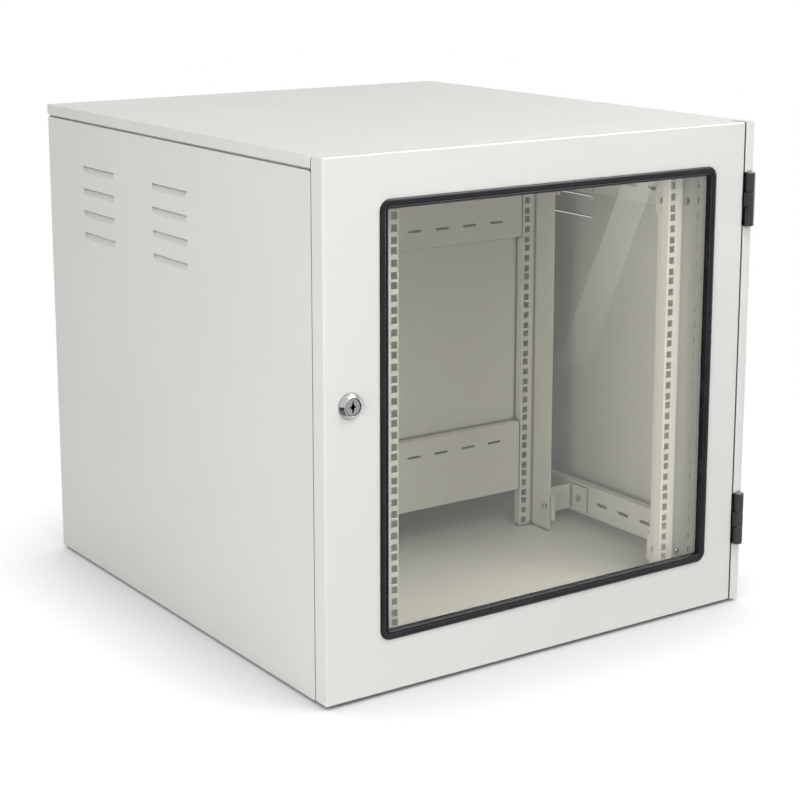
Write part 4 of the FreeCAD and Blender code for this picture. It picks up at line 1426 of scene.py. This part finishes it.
@dataclass(frozen=True)
class Card:
    """A flat card that only reflections see: a strip of light or a dark flag."""

    name: str
    corners: tuple[Place, ...]
    bottom: float
    top: float

    def build(self) -> None:
        """Add the card, its glow going from its bottom to its top."""
        shape = bmesh.new()
        bmesh.ops.contextual_create(shape, geom=[shape.verts.new(corner) for corner in self.corners])
        levels = [corner[2] for corner in self.corners]
        material = bpy.data.materials.new(self.name)
        material.use_nodes = True
        material.node_tree.nodes.clear()
        graph = Graph(material.node_tree)
        level = graph.add("SeparateXYZ", {"Vector": graph.add("TexCoord").outputs["Object"]}).outputs["Z"]
        glow = graph.add("Emission", {
            "Strength": graph.span(level, min(levels), max(levels), self.bottom, self.top),
        })
        graph.feed(graph.add("OutputMaterial").inputs["Surface"], glow.outputs[0])
        card = stage_piece(self.name, shape, material)
        card.visible_camera = False
        card.visible_diffuse = False
        card.visible_transmission = False
        card.visible_shadow = False


def stage_piece(name: str, shape: bmesh.types.BMesh, material: bpy.types.Material) -> bpy.types.Object:
    """Make and link a plain object for the studio, such as the floor or a card.

    Args:
        name: Its name.
        shape: Its mesh, which is freed.
        material: Its material.

    Returns:
        The object.
    """
    mesh = bpy.data.meshes.new(name)
    shape.to_mesh(mesh)
    shape.free()
    mesh.materials.append(material)
    piece = bpy.data.objects.new(name, mesh)
    bpy.context.scene.collection.objects.link(piece)
    return piece


LAMPS = (
    Lamp("low_left_lamp", place=(-3.1, -1.8, 0.85), power=62.0, mirrored=False),
    Lamp("high_front_lamp", place=(0.45, -1.75, 3.45), power=58.0),
    Lamp("front_left_lamp", place=(-0.75, -2.85, 2.4), power=19.0),
    Lamp("front_right_lamp", place=(1.9, -2.25, 2.4), power=16.0),
    Lamp("roof_lamp", place=(0.0, 0.2, 3.35), power=5.0),
    Lamp("rear_lamp", place=(0.9, 3.3, 1.3), power=34.0, mirrored=False),
)

# The strip is the streak on the glass, the side card edges the hinges, the flags shade the chrome,
# and the bead card is the light line along the rubber profile.
CARDS = (
    Card(
        "strip_card", bottom=1.4, top=3.2,
        corners=((0.995, -1.6, 0.016), (1.091, -1.6, 0.016), (1.294, -1.6, 0.47), (1.203, -1.6, 0.47)),
    ),
    Card(
        "side_card", bottom=9.0, top=14.0,
        corners=((1.8, -0.75, 0.1), (1.8, -0.45, 0.1), (1.8, -0.45, 0.62), (1.8, -0.75, 0.62)),
    ),
    Card(
        "left_flag", bottom=0.02, top=0.05,
        corners=((-1.15, -1.0, 0.0), (-1.15, -0.4, 0.0), (-1.15, -0.4, 0.3), (-1.15, -1.0, 0.3)),
    ),
    Card(
        "low_flag", bottom=0.25, top=0.25,
        corners=((-1.14, -1.0, 0.004), (-0.37, -1.0, 0.004), (-0.37, -0.4, 0.004), (-1.14, -0.4, 0.004)),
    ),
    Card(
        "right_flag", bottom=0.02, top=0.02,
        corners=((1.3, -0.9, 1.5), (1.3, -0.3, 1.5), (1.3, -0.3, 1.8), (1.3, -0.9, 1.8)),
    ),
    Card(
        "bead_card", bottom=11.0, top=11.0,
        corners=((0.7, -1.7, 2.3), (2.4, -1.7, 2.3), (2.4, -0.4, 2.3), (0.7, -0.4, 2.3)),
    ),
)


@dataclass
class Studio:
    """Floor, backdrop light, lamps, cards and camera."""

    lamps: tuple[Lamp, ...] = LAMPS
    cards: tuple[Card, ...] = CARDS
    floor_half: float = 14.0
    floor_colour: Colour = (0.80, 0.80, 0.80)
    floor_seen: Colour = (0.34, 0.34, 0.34)
    floor_glow: float = 0.88
    shade_reach: float = 0.25
    shade_samples: int = 16
    fade_start: float = 0.55
    fade_end: float = 1.25
    world_light: float = 0.15
    camera_place: Place = (-1.5644, -2.3158, 0.9897)
    camera_yaw: float = 34.457
    camera_pitch: float = 11.594
    lens: float = 86.827
    sensor: float = 36.0
    shift_down: float = 0.12

    def build(self) -> None:
        """Add the whole studio."""
        self.world()
        self.floor()
        for item in (*self.lamps, *self.cards):
            item.build()
            LOG.info("set up %s", item.name)
        self.camera()

    def seen(self, graph: Graph) -> Socket:
        """Return 1 for rays from the camera, gloss and glass, else 0.

        Args:
            graph: The tree that asks.

        Returns:
            The mask.
        """
        path = graph.add("LightPath")
        seen = graph.math("MAXIMUM", path.outputs["Is Camera Ray"], path.outputs["Is Glossy Ray"])
        return graph.math("MAXIMUM", seen, path.outputs["Is Transmission Ray"])

    def world(self) -> None:
        """Light the scene evenly, and show white to the camera, gloss and glass."""
        world = bpy.data.worlds.new("studio")
        bpy.context.scene.world = world
        world.use_nodes = True
        world.node_tree.nodes.clear()
        graph = Graph(world.node_tree)
        strength = graph.span(self.seen(graph), 0.0, 1.0, to_low=self.world_light)
        glow = graph.add("Background", {"Color": WHITE, "Strength": strength})
        graph.feed(graph.add("OutputWorld").inputs["Surface"], glow.outputs[0])

    def floor(self) -> None:
        """Add a pale floor that keeps the cabinet's shadow, adds a painted contact shadow near its foot, and
        turns white away from it.
        """
        shape = bmesh.new()
        bmesh.ops.create_grid(shape, x_segments=1, y_segments=1, size=self.floor_half)
        material = bpy.data.materials.new("floor_white")
        material.use_nodes = True
        material.node_tree.nodes.clear()
        graph = Graph(material.node_tree)
        seen = self.seen(graph)
        matt = graph.add("BsdfDiffuse", {"Color": graph.blend(seen, self.floor_colour, self.floor_seen)})
        # Painted shadow: the glow fades where the cabinet closes off the open sky, near its foot.
        reach = {"Distance": self.shade_reach}
        sky = graph.add("AmbientOcclusion", reach, samples=self.shade_samples).outputs["AO"]
        shade = graph.math("MULTIPLY", sky, self.floor_glow)
        glow = graph.add("Emission", {"Strength": graph.math("MULTIPLY", seen, shade)})
        near = graph.add("AddShader")
        graph.feed(near.inputs[0], matt.outputs[0])
        graph.feed(near.inputs[1], glow.outputs[0])
        away = graph.add("VectorMath", operation="LENGTH")
        graph.feed(away.inputs[0], graph.add("TexCoord").outputs["Object"])
        share = graph.span(away.outputs["Value"], self.fade_start, self.fade_end)
        mixed = graph.add("MixShader", {"Fac": graph.math("MULTIPLY", share, seen)})
        graph.feed(mixed.inputs[1], near.outputs[0])
        graph.feed(mixed.inputs[2], graph.add("Emission").outputs[0])
        graph.feed(graph.add("OutputMaterial").inputs["Surface"], mixed.outputs[0])
        stage_piece("floor", shape, material)

    def camera(self) -> None:
        """Add the camera at the photograph's viewing angle."""
        data = bpy.data.cameras.new("camera")
        data.sensor_width = self.sensor
        data.lens = self.lens
        data.shift_y = -self.shift_down
        camera = bpy.data.objects.new("camera", data)
        camera.location = self.camera_place
        camera.rotation_euler = (math.radians(90.0 - self.camera_pitch), 0.0, -math.radians(self.camera_yaw))
        bpy.context.scene.collection.objects.link(camera)
        bpy.context.scene.camera = camera
        bpy.context.scene.view_settings.view_transform = "Standard"


def main() -> None:
    """Build every sub-assembly in order."""
    logging.basicConfig(level=logging.INFO, format="%(name)s: %(message)s")
    coats = finishes()
    CadPieces(coats).dress()
    for node in ("rear_panel_screws", "hinge_screws", "filler_screws", "cross_rail_bolts", "foot_screws"):
        FastenerSet(node, Head.PAN).build(coats[Slot.ZINC])
    FastenerSet("upright_bolts", Head.BOLT).build(coats[Slot.ZINC])
    FastenerSet("upright_nuts", Head.NUT).build(coats[Slot.ZINC])
    Feet().build(coats[Slot.RUBBER])
    CableEdging().build(coats[Slot.RUBBER])
    Glazing().build(coats[Slot.RUBBER])
    DoorSeal().build(coats[Slot.FOAM])
    Lock().build(coats)
    Studio().build()


if __name__ == "__main__":
    main()
